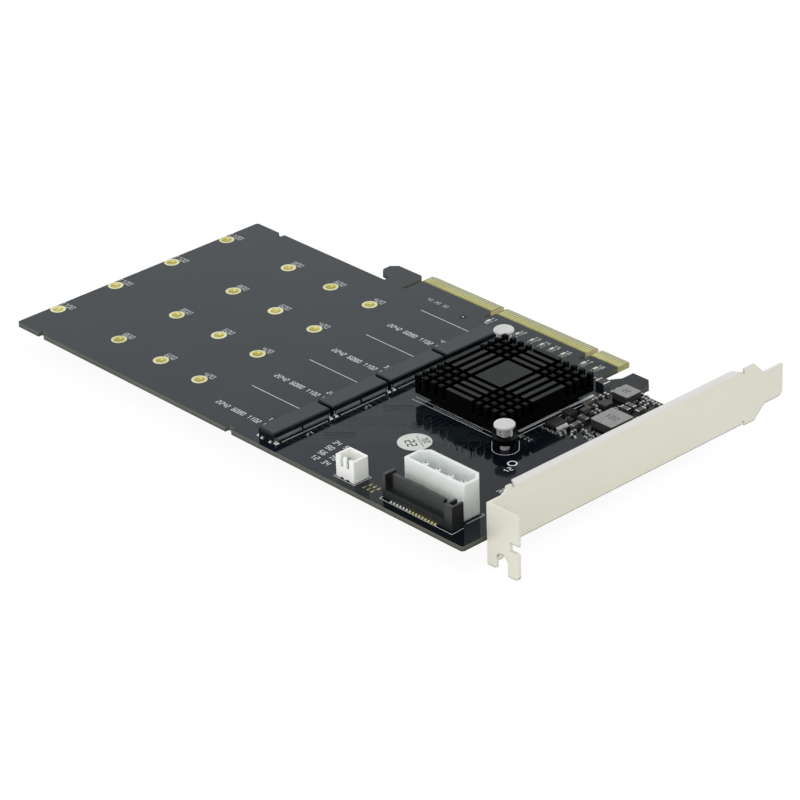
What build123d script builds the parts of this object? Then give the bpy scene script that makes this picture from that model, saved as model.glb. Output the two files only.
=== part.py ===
"""Expansion card that carries four solid-state drive modules on an x16 edge connector.

Frame: the origin lies on the card's slot datum, where the centre line of the key notch
meets the tips of the edge connector, halfway through the board's thickness.
+X runs towards the bracket, +Y out of the edge connector, +Z to the component side.
"""
from build123d import *
import math
import os

os.makedirs("parts", exist_ok=True)

# Board
BOARD_THICKNESS = 1.57
BOARD_HEIGHT = 111.15
BOARD_RIGHT = 55.35
BOARD_LEFT = -142.7
SHOULDER = 12.85
CORNER_CUT = 0.6
EDGE_NOTCH_WIDTH = 2.6
EDGE_NOTCH_DEPTH = 1.4
EDGE_NOTCHES_FRONT = [-131.0, -42.8]
EDGE_NOTCHES_REAR = [-130.8]

TOP = BOARD_THICKNESS / 2
BOTTOM = -BOARD_THICKNESS / 2
FRONT = -BOARD_HEIGHT

# Edge connector
KEY_WIDTH = 1.9
SHORT_TAB = 11.65
LONG_TAB = 71.65
INNER_TAB = 38.65
NOTCH_DEPTH = 9.2
TIP_CHAMFER = 0.8
BEVEL_LENGTH = 0.9
BEVEL_DEPTH = 0.4
CONTACT_PITCH = 1.0
CONTACT_WIDTH = 0.7
CONTACT_END = 4.85
CONTACT_FOIL = 0.05
CONTACT_INSET = 1.1
SHORT_TAB_CONTACTS = 11
LONG_TAB_CONTACTS = 71

TAB_RIGHT = KEY_WIDTH / 2 + SHORT_TAB
TAB_LEFT = -KEY_WIDTH / 2 - LONG_TAB
INNER_NOTCH = -KEY_WIDTH / 2 - INNER_TAB - KEY_WIDTH / 2

# Retention hook and the lug beside the bracket
HOOK_SLOT = 1.5
HOOK_NECK = 8.0
HOOK_LENGTH = 13.9
HOOK_TOP = 2.85
HOOK_DEPTH = 7.0
HOOK_CHAMFER = 2.0
HOOK_ROUND = 1.5
HOOK_INNER_CUT = 1.0
OUTLINE_OVERLAP = 1.0
LUG_LEFT = 16.0
LUG_FOOT = 0.4
LUG_SLOPE = 2.0
LUG_SLOPE_RISE = 3.0
LUG_RIGHT = 27.1
LUG_TOP = 4.8
LUG_CHAMFER = 2.8

# Drive modules: four lanes, each with a socket and four screw holes
LANES = 4
LANE_GAP = 1.1
LANES_SHIFT = 0.5
MODULE_DATUM = -30.4
MODULE_LENGTHS = [42, 60, 80, 110]
MODULE_HOLE = 3.1

# Socket for one module
SOCKET_WIDTH = 21.9
SOCKET_MOUTH = 2.4
SOCKET_REAR = 4.2
SOCKET_HEIGHT = 3.2
SOCKET_FOOT = 0.25
SOCKET_FOOT_WIDTH = 1.6
SOCKET_SLOT_DEPTH = 4.7
SOCKET_SLOT_HEIGHT = 1.1
SOCKET_SLOT_FLOOR = 1.0
SOCKET_SLOT_MARGIN = 0.95
SOCKET_KEY_OFFSET = 6.1
SOCKET_KEY_WIDTH = 1.1
SOCKET_CHAMFER = 0.35
TAIL_PITCH = 0.5
TAIL_WIDTH = 0.24
TAIL_THICKNESS = 0.15
TAIL_REACH = 0.9
TAIL_MARGIN = 1.95
ANCHOR_WIDTH = 1.0
ANCHOR_REACH = 0.7
ANCHOR_HEIGHT = 0.5

# Switch chip and its heat sink
CHIP_CENTRE = (2.25, -42.85)
CHIP_SIDE = 27.0
CHIP_SUBSTRATE = 1.0
CHIP_LID_SIDE = 24.0
CHIP_LID = 1.0
PAD_SIDE = 26.0
PAD_THICKNESS = 0.5
SINK_SIDE = 37.0
SINK_BASE = 1.6
SINK_FIN = 4.4
SINK_ISLAND_X = 10.6
SINK_ISLAND_Y = 13.4
SINK_BAND_FINS = 4
SINK_GROOVE_SHARE = 0.52
SINK_EAR_RADIUS = 3.7
PIN_OFFSET = (21.3, -20.8)
PIN_SHANK = 2.7
PIN_HEAD = 6.3
PIN_HEAD_THICKNESS = 0.9
PIN_HEAD_TOP = 8.2
PIN_HEAD_BEVEL = 0.3
PIN_BARB = 3.9
PIN_BARB_LENGTH = 2.2
PIN_TIP = 1.8
PIN_SPLIT = 0.6
PIN_SPLIT_LENGTH = 2.95
PIN_CLEARANCE = 0.15
SPRING_WIRE = 0.5
SPRING_OUTER = 4.7
SPRING_TURNS = 3
SPRING_STEPS = 12
SPRING_CLEARANCE = 0.03

SINK_BOTTOM = TOP + CHIP_SUBSTRATE + CHIP_LID + PAD_THICKNESS
SINK_FLOOR = SINK_BOTTOM + SINK_BASE

# Four-pin power connector
POWER_FROM_FRONT = 14.3
POWER_CENTRE = (33.6, FRONT + POWER_FROM_FRONT)
POWER_LENGTH = 24.0
POWER_DEPTH = 8.3
POWER_HEIGHT = 11.2
POWER_WALL = 1.0
POWER_FLOOR = 2.2
POWER_CHAMFER = 2.4
POWER_EDGE = 0.3
POWER_PITCH = 5.08
POWER_PINS = 4
POWER_PIN = 2.1
POWER_PIN_TOP = 9.4
POWER_TAIL = 1.3
POWER_PIN_POINT = 0.4
TAIL_BELOW = 1.6

# Fifteen-contact power plug
PLUG_LEFT = 19.3
PLUG_RIGHT = 47.4
PLUG_FROM_FRONT = 3.85
PLUG_FRONT = FRONT + PLUG_FROM_FRONT
PLUG_DEPTH = 4.4
PLUG_BASE = 2.6
PLUG_HEIGHT = 7.6
PLUG_TONGUE_LEFT = 21.9
PLUG_TONGUE_RIGHT = 42.6
PLUG_TONGUE_THICKNESS = 1.3
PLUG_POST_LEFT = 1.2
PLUG_POST_RIGHT = 3.2
PLUG_POST_WALL = 0.8
PLUG_CONTACTS = 15
PLUG_PITCH = 1.27
PLUG_BLADE = 0.75
PLUG_BLADE_THICKNESS = 0.25
PLUG_BLADE_SETBACK = 0.8
PLUG_TAIL_REACH = 0.7
PLUG_RELIEF = 0.3

# Two-pin fan header
FAN_FROM_FRONT = 5.9
FAN_CENTRE = (4.45, FRONT + FAN_FROM_FRONT)
FAN_LENGTH = 7.5
FAN_DEPTH = 5.75
FAN_HEIGHT = 7.0
FAN_WALL = 0.7
FAN_FLOOR = 1.6
FAN_PITCH = 2.5
FAN_PIN = 0.64
FAN_PIN_TOP = 6.0
FAN_SLOT = 1.3
FAN_SLOT_DEPTH = 3.4
FAN_FOOT = 0.4
FAN_FOOT_WIDTH = 1.3
FAN_EDGE = 0.25

# Bracket
BRACKET_FACE = 57.77
BRACKET_SHEET = 0.86
BRACKET_LOW = -3.9
BRACKET_WIDTH = 18.42
BRACKET_START = -103.3
BRACKET_LENGTH = 120.02
NECK_STEP_TOP = 2.2
NECK_STEP_LOW = 3.2
NECK_LENGTH = 5.0
TAB_LENGTH = 11.43
TAB_TOP_CUT = 1.0
TAB_DROP = 0.8
TAB_CORNER = 1.6
PRONG_CORNER = 0.6
SCREW_NOTCH = 4.42
SCREW_NOTCH_OFFSET = 4.9
SCREW_NOTCH_DEPTH = 5.2
TAB_RELIEF = 2.5
TAB_RELIEF_DEPTH = 3.2
TAB_RELIEF_HEIGHT = 8.95
TONGUE_WIDTH = 10.19
TONGUE_LOW = 3.9
TONGUE_CORNER = 2.0
SHOULDER_CORNER = 1.0
SHOULDER_START = 4.5
TONGUE_START = 8.8
LIP_DEPTH = 2.9
LIP_START = 10.2
LIP_END = 102.3
LIP_INSET = 0.6
LIP_RELIEF = 1.2
LIP_RELIEF_DEPTH = 0.7
EAR_CENTRES = [-86.5, -22.5]
EAR_WIDTH = 8.0
EAR_REACH = 10.5
EAR_HOLE_INSET = 4.2
EAR_BEND = 0.6
EAR_RAMP = 1.4
SCREW_THREAD = 2.9
SCREW_HEAD = 5.4
SCREW_HEAD_THICKNESS = 1.7
SCREW_CLEARANCE = 0.15
SCREW_TIP = 0.6
SCREW_RECESS = 3.0
SCREW_RECESS_WIDTH = 0.7

# Coils
COIL_SMALL_CENTRE = (27.65, -17.75)
COIL_SMALL = (6.4, 6.2, 2.5)
COIL_LARGE_CENTRE = (36.5, -33.0)
COIL_LARGE = (8.6, 9.3, 2.9)
COIL_EDGE = 0.4
COIL_FOOT = 0.2
COIL_FOOT_WIDTH = 2.4
COIL_FOOT_REACH = 0.35

# Leaded controllers
CONTROLLER_CENTRE = (24.3, -43.6)
CONTROLLER_BODY = (4.0, 5.0, 1.4)
CONTROLLER_PINS = 7
CONTROLLER_PITCH = 0.65
LEAD_WIDTH = 0.32
LEAD_REACH = 1.0
LEAD_THICKNESS = 0.2

# Flat power packages, chip capacitors, chip resistors and moulded capacitors.
# Each place is (x, y, turned by a quarter).
SWITCH_BODY = (3.4, 3.4, 1.0)
SWITCH_PLACES = [(26.2, -25.2, 0), (22.4, -36.2, 0), (43.4, -41.0, 0)]
CERAMIC_LARGE = (3.2, 1.6, 1.5)
CERAMIC_LARGE_PLACES = [
    (22.9, -29.4, 1), (25.2, -32.4, 1), (28.6, -36.6, 0), (29.6, -41.0, 1), (33.2, -24.0, 0),
    (33.2, -21.6, 0), (37.0, -21.6, 1), (43.6, -31.0, 1), (43.6, -35.6, 1),
]
CERAMIC_SMALL = (1.6, 0.8, 0.8)
CERAMIC_SMALL_PLACES = [
    (22.3, -20.6, 0), (22.3, -22.6, 0), (22.0, -25.4, 1), (25.0, -28.2, 0), (27.6, -29.6, 0),
    (27.6, -31.4, 0), (32.2, -14.8, 0), (34.8, -14.8, 0), (37.4, -14.8, 0), (33.4, -17.2, 1),
    (35.4, -17.4, 1), (28.9, -45.4, 0), (28.9, -47.2, 0), (31.4, -43.6, 1), (33.4, -41.2, 0),
]
RESISTOR = (1.6, 0.8, 0.45)
LANE_RESISTOR_X = -23.1
RESISTOR_PLACES = [
    (39.6, -17.6, 1), (41.4, -17.6, 1), (39.2, -24.6, 0), (39.2, -26.2, 0), (31.0, -26.6, 0),
    (36.2, -39.6, 0), (38.6, -39.6, 0), (33.0, -45.4, 0), (43.6, -46.2, 1), (45.2, -46.2, 1),
    (43.6, -49.0, 1), (45.2, -49.0, 1),
]
MOULDED = (3.5, 2.8, 1.9)
MOULDED_PLACES = [(17.5, -17.2, 0)]
TERMINAL = 0.35

# Status lamps along the edge connector
LAMP = (1.6, 0.8, 0.6)
LAMP_Y = -11.0
LAMP_PLACES = [-37.2, -24.6, -18.4, -14.2, -10.0, -5.2, 3.4, 8.4]

# Round label
LABEL_CENTRE = (2.4, -79.2)
LABEL_DIAMETER = 10.2
LABEL_THICKNESS = 0.12

lane_pitch = SOCKET_WIDTH + LANE_GAP
lanes_middle = (FRONT - SHOULDER) / 2 - LANES_SHIFT
lane_centres = [lanes_middle + lane_pitch * (lane - (LANES - 1) / 2) for lane in range(LANES)]
resistor_places = RESISTOR_PLACES + [(LANE_RESISTOR_X, y, 1) for y in lane_centres]
module_holes = [(MODULE_DATUM - length, y) for y in lane_centres for length in MODULE_LENGTHS]
pin_places = [
    (CHIP_CENTRE[0] + PIN_OFFSET[0], CHIP_CENTRE[1] + PIN_OFFSET[1]),
    (CHIP_CENTRE[0] - PIN_OFFSET[0], CHIP_CENTRE[1] - PIN_OFFSET[1]),
]
power_pin_places = [
    (POWER_CENTRE[0] + POWER_PITCH * (pin - (POWER_PINS - 1) / 2), POWER_CENTRE[1])
    for pin in range(POWER_PINS)
]
fan_pin_places = [(FAN_CENTRE[0] + FAN_PITCH * side / 2, FAN_CENTRE[1]) for side in (-1, 1)]
ear_screw_x = BRACKET_FACE - EAR_REACH + EAR_HOLE_INSET
ear_screws = [(ear_screw_x, y) for y in EAR_CENTRES]


def finish(builder, label):
    """Name a finished piece and write it."""
    builder.part.label = label
    export_step(builder.part, f"parts/{label}.step")


def nearest(sketch, places):
    """Corners of a sketch that lie nearest to places given in its own plane."""
    return [sketch.sketch_local.vertices().sort_by_distance((x, y, 0))[0] for x, y in places]


def contact_places():
    """Centres of the edge contacts along X, without those that a notch takes away."""
    short_tab = [TAB_RIGHT - CONTACT_INSET - CONTACT_PITCH * n for n in range(SHORT_TAB_CONTACTS)]
    long_tab = [TAB_LEFT + CONTACT_INSET + CONTACT_PITCH * n for n in range(LONG_TAB_CONTACTS)]
    lost = KEY_WIDTH / 2 + CONTACT_WIDTH / 2
    return [x for x in short_tab + long_tab if abs(x - INNER_NOTCH) > lost]


# Circuit board
outline_base = -SHOULDER - OUTLINE_OVERLAP
hook_right = TAB_LEFT - HOOK_SLOT
hook_low = -HOOK_TOP - HOOK_DEPTH
hook_left = hook_right - HOOK_LENGTH
neck_left = hook_right - HOOK_NECK
with BuildPart() as circuit_board:
    with BuildSketch(Plane.XY.offset(BOTTOM)):
        with Locations(((BOARD_LEFT + BOARD_RIGHT) / 2, (FRONT - SHOULDER) / 2)):
            Rectangle(BOARD_RIGHT - BOARD_LEFT, BOARD_HEIGHT - SHOULDER)
        with BuildLine():
            Polyline(
                (TAB_LEFT, outline_base), (TAB_LEFT, -TIP_CHAMFER), (TAB_LEFT + TIP_CHAMFER, 0),
                (TAB_RIGHT - TIP_CHAMFER, 0), (TAB_RIGHT, -TIP_CHAMFER), (TAB_RIGHT, outline_base),
                close=True,
            )
        make_face()
        with BuildLine():
            Polyline(
                (hook_right, outline_base), (hook_right, -HOOK_TOP - HOOK_ROUND),
                (hook_right - HOOK_ROUND, -HOOK_TOP), (hook_left + HOOK_CHAMFER, -HOOK_TOP),
                (hook_left, -HOOK_TOP - HOOK_CHAMFER), (hook_left, hook_low + HOOK_CHAMFER),
                (hook_left + HOOK_CHAMFER, hook_low), (neck_left - HOOK_INNER_CUT, hook_low),
                (neck_left, hook_low - HOOK_INNER_CUT), (neck_left, outline_base),
                close=True,
            )
        make_face()
        with BuildLine():
            Polyline(
                (LUG_LEFT, outline_base), (LUG_LEFT, -SHOULDER + LUG_FOOT),
                (LUG_LEFT + LUG_SLOPE, -SHOULDER + LUG_FOOT + LUG_SLOPE_RISE),
                (LUG_LEFT + LUG_SLOPE, -LUG_TOP), (LUG_RIGHT - LUG_CHAMFER, -LUG_TOP),
                (LUG_RIGHT, -LUG_TOP - LUG_CHAMFER), (LUG_RIGHT, outline_base),
                close=True,
            )
        make_face()
        for notch in (0, INNER_NOTCH):
            with Locations((notch, 0)):
                SlotOverall(NOTCH_DEPTH * 2, KEY_WIDTH, rotation=90, mode=Mode.SUBTRACT)
        with Locations(*[(x, FRONT) for x in EDGE_NOTCHES_FRONT]):
            Rectangle(EDGE_NOTCH_WIDTH, EDGE_NOTCH_DEPTH * 2, mode=Mode.SUBTRACT)
        with Locations(*[(x, -SHOULDER) for x in EDGE_NOTCHES_REAR]):
            Rectangle(EDGE_NOTCH_WIDTH, EDGE_NOTCH_DEPTH * 2, mode=Mode.SUBTRACT)
        with Locations(*module_holes):
            Circle(MODULE_HOLE / 2, mode=Mode.SUBTRACT)
        with Locations(*pin_places):
            Circle(PIN_SHANK / 2 + PIN_CLEARANCE, mode=Mode.SUBTRACT)
        with Locations(*power_pin_places):
            Rectangle(POWER_TAIL, POWER_TAIL, mode=Mode.SUBTRACT)
        with Locations(*fan_pin_places):
            Rectangle(FAN_PIN, FAN_PIN, mode=Mode.SUBTRACT)
        with Locations(*ear_screws):
            Circle(SCREW_THREAD / 2 + SCREW_CLEARANCE, mode=Mode.SUBTRACT)
    extrude(amount=BOARD_THICKNESS)
    for side in (1, -1):
        with BuildSketch(Plane.YZ.offset(TAB_LEFT)):
            with BuildLine():
                Polyline(
                    (-BEVEL_LENGTH, side * TOP), (0, side * TOP), (0, side * (TOP - BEVEL_DEPTH)), close=True,
                )
            make_face()
        extrude(amount=TAB_RIGHT - TAB_LEFT, mode=Mode.SUBTRACT)
    outer_corners = circuit_board.edges().filter_by(Axis.Z).group_by(Axis.X)
    chamfer(outer_corners[0] + outer_corners[-1], CORNER_CUT)
finish(circuit_board, "circuit_board")


# Edge contacts, one node for each face of the board
contact_length = CONTACT_END - BEVEL_LENGTH
contact_middle = -(CONTACT_END + BEVEL_LENGTH) / 2
for label, plane in (
    ("edge_contacts_component_side", Plane.XY.offset(TOP)),
    ("edge_contacts_solder_side", Plane.XY.offset(BOTTOM - CONTACT_FOIL)),
):
    with BuildPart() as edge_contacts:
        with BuildSketch(plane):
            with Locations(*[(x, contact_middle) for x in contact_places()]):
                Rectangle(CONTACT_WIDTH, contact_length)
        extrude(amount=CONTACT_FOIL)
    finish(edge_contacts, label)


# Module sockets, with the contact row and the solder anchors of each
socket_left = MODULE_DATUM - SOCKET_MOUTH
socket_right = MODULE_DATUM + SOCKET_REAR
socket_depth = socket_right - socket_left
socket_middle = (socket_left + socket_right) / 2
foot_offset = (SOCKET_WIDTH - SOCKET_FOOT_WIDTH) / 2
anchor_offset = (SOCKET_WIDTH - ANCHOR_WIDTH) / 2
tail_count = int((SOCKET_WIDTH - TAIL_MARGIN * 2) / TAIL_PITCH)
for lane, y in enumerate(lane_centres, start=1):
    with BuildPart() as socket:
        with BuildSketch(Plane.XY.offset(TOP)):
            with Locations((socket_middle, y - foot_offset), (socket_middle, y + foot_offset)):
                Rectangle(socket_depth, SOCKET_FOOT_WIDTH)
        extrude(amount=SOCKET_FOOT)
        with BuildSketch(Plane.XY.offset(TOP + SOCKET_FOOT)):
            with Locations((socket_middle, y)):
                Rectangle(socket_depth, SOCKET_WIDTH)
        extrude(amount=SOCKET_HEIGHT - SOCKET_FOOT)
        top_face = socket.faces().sort_by(Axis.Z)[-1]
        chamfer(top_face.edges(), SOCKET_CHAMFER)
        with BuildSketch(Plane.YZ.offset(socket_left)):
            with Locations((y, TOP + SOCKET_SLOT_FLOOR + SOCKET_SLOT_HEIGHT / 2)):
                Rectangle(SOCKET_WIDTH - SOCKET_SLOT_MARGIN * 2, SOCKET_SLOT_HEIGHT)
            with Locations((y - SOCKET_KEY_OFFSET, TOP + SOCKET_SLOT_FLOOR + SOCKET_SLOT_HEIGHT / 2)):
                Rectangle(SOCKET_KEY_WIDTH, SOCKET_SLOT_HEIGHT, mode=Mode.SUBTRACT)
        extrude(amount=SOCKET_SLOT_DEPTH, mode=Mode.SUBTRACT)
    finish(socket, f"module_socket_{lane}")

with BuildPart() as socket_contacts:
    with BuildSketch(Plane.XY.offset(TOP)):
        for y in lane_centres:
            with Locations((socket_middle, y)):
                with GridLocations(0, TAIL_PITCH, 1, tail_count):
                    Rectangle(socket_depth + TAIL_REACH * 2, TAIL_WIDTH)
    extrude(amount=TAIL_THICKNESS)
finish(socket_contacts, "module_socket_contacts")

with BuildPart() as socket_anchors:
    for y in lane_centres:
        for side in (-1, 1):
            with BuildSketch(Plane.XY.offset(TOP)):
                with Locations((socket_right + ANCHOR_REACH / 2, y + side * anchor_offset)):
                    Rectangle(ANCHOR_REACH, ANCHOR_WIDTH)
            extrude(amount=ANCHOR_HEIGHT)
finish(socket_anchors, "module_socket_anchors")


# Switch chip: substrate with a lid, then the pad that carries heat to the sink
with BuildPart() as switch_chip:
    with BuildSketch(Plane.XY.offset(TOP)):
        with Locations(CHIP_CENTRE):
            Rectangle(CHIP_SIDE, CHIP_SIDE)
    extrude(amount=CHIP_SUBSTRATE)
    with BuildSketch(Plane.XY.offset(TOP + CHIP_SUBSTRATE)):
        with Locations(CHIP_CENTRE):
            Rectangle(CHIP_LID_SIDE, CHIP_LID_SIDE)
    extrude(amount=CHIP_LID)
finish(switch_chip, "switch_chip")

with BuildPart() as thermal_pad:
    with BuildSketch(Plane.XY.offset(SINK_BOTTOM - PAD_THICKNESS)):
        with Locations(CHIP_CENTRE):
            Rectangle(PAD_SIDE, PAD_SIDE)
    extrude(amount=PAD_THICKNESS)
finish(thermal_pad, "thermal_pad")


def groove_places(side, island):
    """Offsets of the grooves from the middle, in the two bands beside the island."""
    band = (side - island) / 2
    pitch = band / SINK_BAND_FINS
    groove = pitch * SINK_GROOVE_SHARE
    inner = [island / 2 + groove / 2 + pitch * n for n in range(SINK_BAND_FINS)]
    return groove, inner + [-offset for offset in inner]


groove_x, grooves_x = groove_places(SINK_SIDE, SINK_ISLAND_X)
groove_y, grooves_y = groove_places(SINK_SIDE, SINK_ISLAND_Y)
ear_angle = math.degrees(math.atan2(PIN_OFFSET[1], PIN_OFFSET[0]))
ear_length = math.hypot(*PIN_OFFSET)

# Heat sink: base plate with an ear at two corners, bars along the sides, pins at the corners
with BuildPart() as heat_sink:
    with BuildSketch(Plane.XY.offset(SINK_BOTTOM)):
        with Locations(CHIP_CENTRE):
            Rectangle(SINK_SIDE, SINK_SIDE)
            Rectangle(ear_length * 2, SINK_EAR_RADIUS * 2, rotation=ear_angle)
        with Locations(*pin_places):
            Circle(SINK_EAR_RADIUS)
            Circle(PIN_SHANK / 2 + PIN_CLEARANCE, mode=Mode.SUBTRACT)
    extrude(amount=SINK_BASE)
    with BuildSketch(Plane.XY.offset(SINK_FLOOR)):
        with Locations(CHIP_CENTRE):
            Rectangle(SINK_SIDE, SINK_SIDE)
            with Locations(*[(x, 0) for x in grooves_x]):
                Rectangle(groove_x, SINK_SIDE, mode=Mode.SUBTRACT)
            with Locations(*[(0, y) for y in grooves_y]):
                Rectangle(SINK_SIDE, groove_y, mode=Mode.SUBTRACT)
    extrude(amount=SINK_FIN)
finish(heat_sink, "heat_sink")


def spring_path():
    """Middle of the spring's wire, rising by equal straight steps from the base plate to the head."""
    radius = (SPRING_OUTER - SPRING_WIRE) / 2
    rise = spring_top - spring_bottom - SPRING_WIRE - SPRING_CLEARANCE * 2
    count = SPRING_TURNS * SPRING_STEPS
    turn = [2 * math.pi * step / SPRING_STEPS for step in range(count + 1)]
    lift = [SPRING_CLEARANCE + rise * step / count for step in range(count + 1)]
    return [(radius * math.cos(a), radius * math.sin(a), z) for a, z in zip(turn, lift)]


# Push pins with split barbed tips, and the springs under their heads
spring_bottom = SINK_FLOOR
head_top = TOP + PIN_HEAD_TOP
spring_top = head_top - PIN_HEAD_THICKNESS
barb_top = BOTTOM - PIN_CLEARANCE
for label, (x, y) in zip(("front", "rear"), pin_places):
    with BuildPart() as push_pin:
        with BuildSketch(Plane((x, y, 0), x_dir=(1, 0, 0), z_dir=(0, -1, 0))):
            with BuildLine():
                Polyline(
                    (0, head_top), (PIN_HEAD / 2 - PIN_HEAD_BEVEL, head_top),
                    (PIN_HEAD / 2, head_top - PIN_HEAD_BEVEL), (PIN_HEAD / 2, spring_top),
                    (PIN_SHANK / 2, spring_top), (PIN_SHANK / 2, barb_top),
                    (PIN_BARB / 2, barb_top), (PIN_TIP / 2, barb_top - PIN_BARB_LENGTH),
                    (0, barb_top - PIN_BARB_LENGTH), close=True,
                )
            make_face()
        revolve(axis=Axis((x, y, 0), (0, 0, 1)))
        with BuildSketch(Plane((x, y, barb_top - PIN_BARB_LENGTH))):
            Rectangle(PIN_SPLIT, PIN_BARB * 2)
        extrude(amount=PIN_SPLIT_LENGTH, mode=Mode.SUBTRACT)
    finish(push_pin, f"push_pin_{label}")

    with BuildPart() as spring:
        with BuildLine(Plane((x, y, spring_bottom + SPRING_WIRE / 2))) as turns:
            Polyline(*spring_path())
        with BuildSketch(Plane(turns.line @ 0, x_dir=(0, 0, 1), z_dir=turns.line % 0)):
            Rectangle(SPRING_WIRE, SPRING_WIRE)
        sweep(transition=Transition.RIGHT)
    finish(spring, f"push_pin_spring_{label}")


# Four-pin power connector: a shroud with two cut corners, and pins that are round above its floor
def power_outline(inset):
    """Outline of the shroud, drawn in by a wall where wanted."""
    half = POWER_LENGTH / 2 - inset
    front = -POWER_DEPTH / 2 + inset
    rear = POWER_DEPTH / 2 - inset
    cut = POWER_CHAMFER - inset * (2 - math.sqrt(2))
    return [
        (-half, front), (half, front), (half, rear - cut),
        (half - cut, rear), (cut - half, rear), (-half, rear - cut),
    ]


with BuildPart() as power_housing:
    with BuildSketch(Plane((*POWER_CENTRE, TOP))):
        with BuildLine():
            Polyline(*power_outline(0), close=True)
        make_face()
    extrude(amount=POWER_HEIGHT)
    with BuildSketch(Plane((*POWER_CENTRE, TOP + POWER_FLOOR))):
        with BuildLine():
            Polyline(*power_outline(POWER_WALL), close=True)
        make_face()
    extrude(amount=POWER_HEIGHT, mode=Mode.SUBTRACT)
    with BuildSketch(Plane.XY.offset(TOP)):
        with Locations(*power_pin_places):
            Rectangle(POWER_TAIL, POWER_TAIL)
    extrude(amount=POWER_FLOOR, mode=Mode.SUBTRACT)
    fillet(power_housing.edges().filter_by(Axis.Z).group_by(Axis.Y)[0], POWER_EDGE)
finish(power_housing, "power_connector_housing")

with BuildPart() as power_pins:
    with BuildSketch(Plane.XY.offset(BOTTOM - TAIL_BELOW)):
        with Locations(*power_pin_places):
            Rectangle(POWER_TAIL, POWER_TAIL)
    extrude(amount=TAIL_BELOW + BOARD_THICKNESS + POWER_FLOOR)
    with BuildSketch(Plane.XY.offset(TOP + POWER_FLOOR)):
        with Locations(*power_pin_places):
            Circle(POWER_PIN / 2)
    extrude(amount=POWER_PIN_TOP - POWER_FLOOR)
    chamfer(power_pins.faces().group_by(Axis.Z)[-1].edges(), POWER_PIN_POINT)
finish(power_pins, "power_connector_pins")


# Fifteen-contact power plug: base, tongue and two end posts
plug_middle = PLUG_FRONT + PLUG_DEPTH / 2
post_hollow = PLUG_POST_RIGHT - PLUG_POST_WALL * 2
tongue_rear = plug_middle + PLUG_TONGUE_THICKNESS / 2
tongue_middle = (PLUG_TONGUE_LEFT + PLUG_TONGUE_RIGHT) / 2
blade_front = PLUG_FRONT - PLUG_TAIL_REACH
blade_rear = tongue_rear + PLUG_BLADE_THICKNESS
blade_top = TOP + PLUG_HEIGHT - PLUG_BLADE_SETBACK
blade_places = [tongue_middle + PLUG_PITCH * (n - (PLUG_CONTACTS - 1) / 2) for n in range(PLUG_CONTACTS)]
with BuildPart() as plug_housing:
    with BuildSketch(Plane.XY.offset(TOP)):
        with Locations(((PLUG_LEFT + PLUG_RIGHT) / 2, plug_middle)):
            Rectangle(PLUG_RIGHT - PLUG_LEFT, PLUG_DEPTH)
    extrude(amount=PLUG_BASE)
    with BuildSketch(Plane.XY.offset(TOP)):
        with Locations((tongue_middle, plug_middle)):
            Rectangle(PLUG_PITCH * PLUG_CONTACTS, PLUG_DEPTH)
    extrude(amount=PLUG_RELIEF, mode=Mode.SUBTRACT)
    with BuildSketch(Plane.XY.offset(TOP + PLUG_BASE)):
        with Locations((tongue_middle, plug_middle)):
            Rectangle(PLUG_TONGUE_RIGHT - PLUG_TONGUE_LEFT, PLUG_TONGUE_THICKNESS)
        with Locations((PLUG_LEFT + PLUG_POST_LEFT / 2, plug_middle)):
            Rectangle(PLUG_POST_LEFT, PLUG_DEPTH)
        with Locations((PLUG_RIGHT - PLUG_POST_RIGHT / 2, plug_middle)):
            Rectangle(PLUG_POST_RIGHT, PLUG_DEPTH)
            with Locations((0, PLUG_POST_WALL)):
                Rectangle(post_hollow, PLUG_DEPTH - PLUG_POST_WALL, mode=Mode.SUBTRACT)
    extrude(amount=PLUG_HEIGHT - PLUG_BASE)
    with BuildSketch(Plane.XY.offset(TOP)):
        with Locations(*[(x, tongue_rear + PLUG_BLADE_THICKNESS / 2) for x in blade_places]):
            Rectangle(PLUG_BLADE, PLUG_BLADE_THICKNESS)
    extrude(amount=PLUG_BASE, mode=Mode.SUBTRACT)
finish(plug_housing, "power_plug_housing")

# Each contact is one bent strip: up the rear of the tongue, down through the base, out to the front
with BuildPart() as plug_contacts:
    for x in blade_places:
        with BuildSketch(Plane.YZ.offset(x - PLUG_BLADE / 2)):
            with BuildLine():
                Polyline(
                    (blade_front, TOP), (blade_rear, TOP), (blade_rear, blade_top), (tongue_rear, blade_top),
                    (tongue_rear, TOP + PLUG_BLADE_THICKNESS), (blade_front, TOP + PLUG_BLADE_THICKNESS),
                    close=True,
                )
            make_face()
        extrude(amount=PLUG_BLADE)
finish(plug_contacts, "power_plug_contacts")


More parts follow.
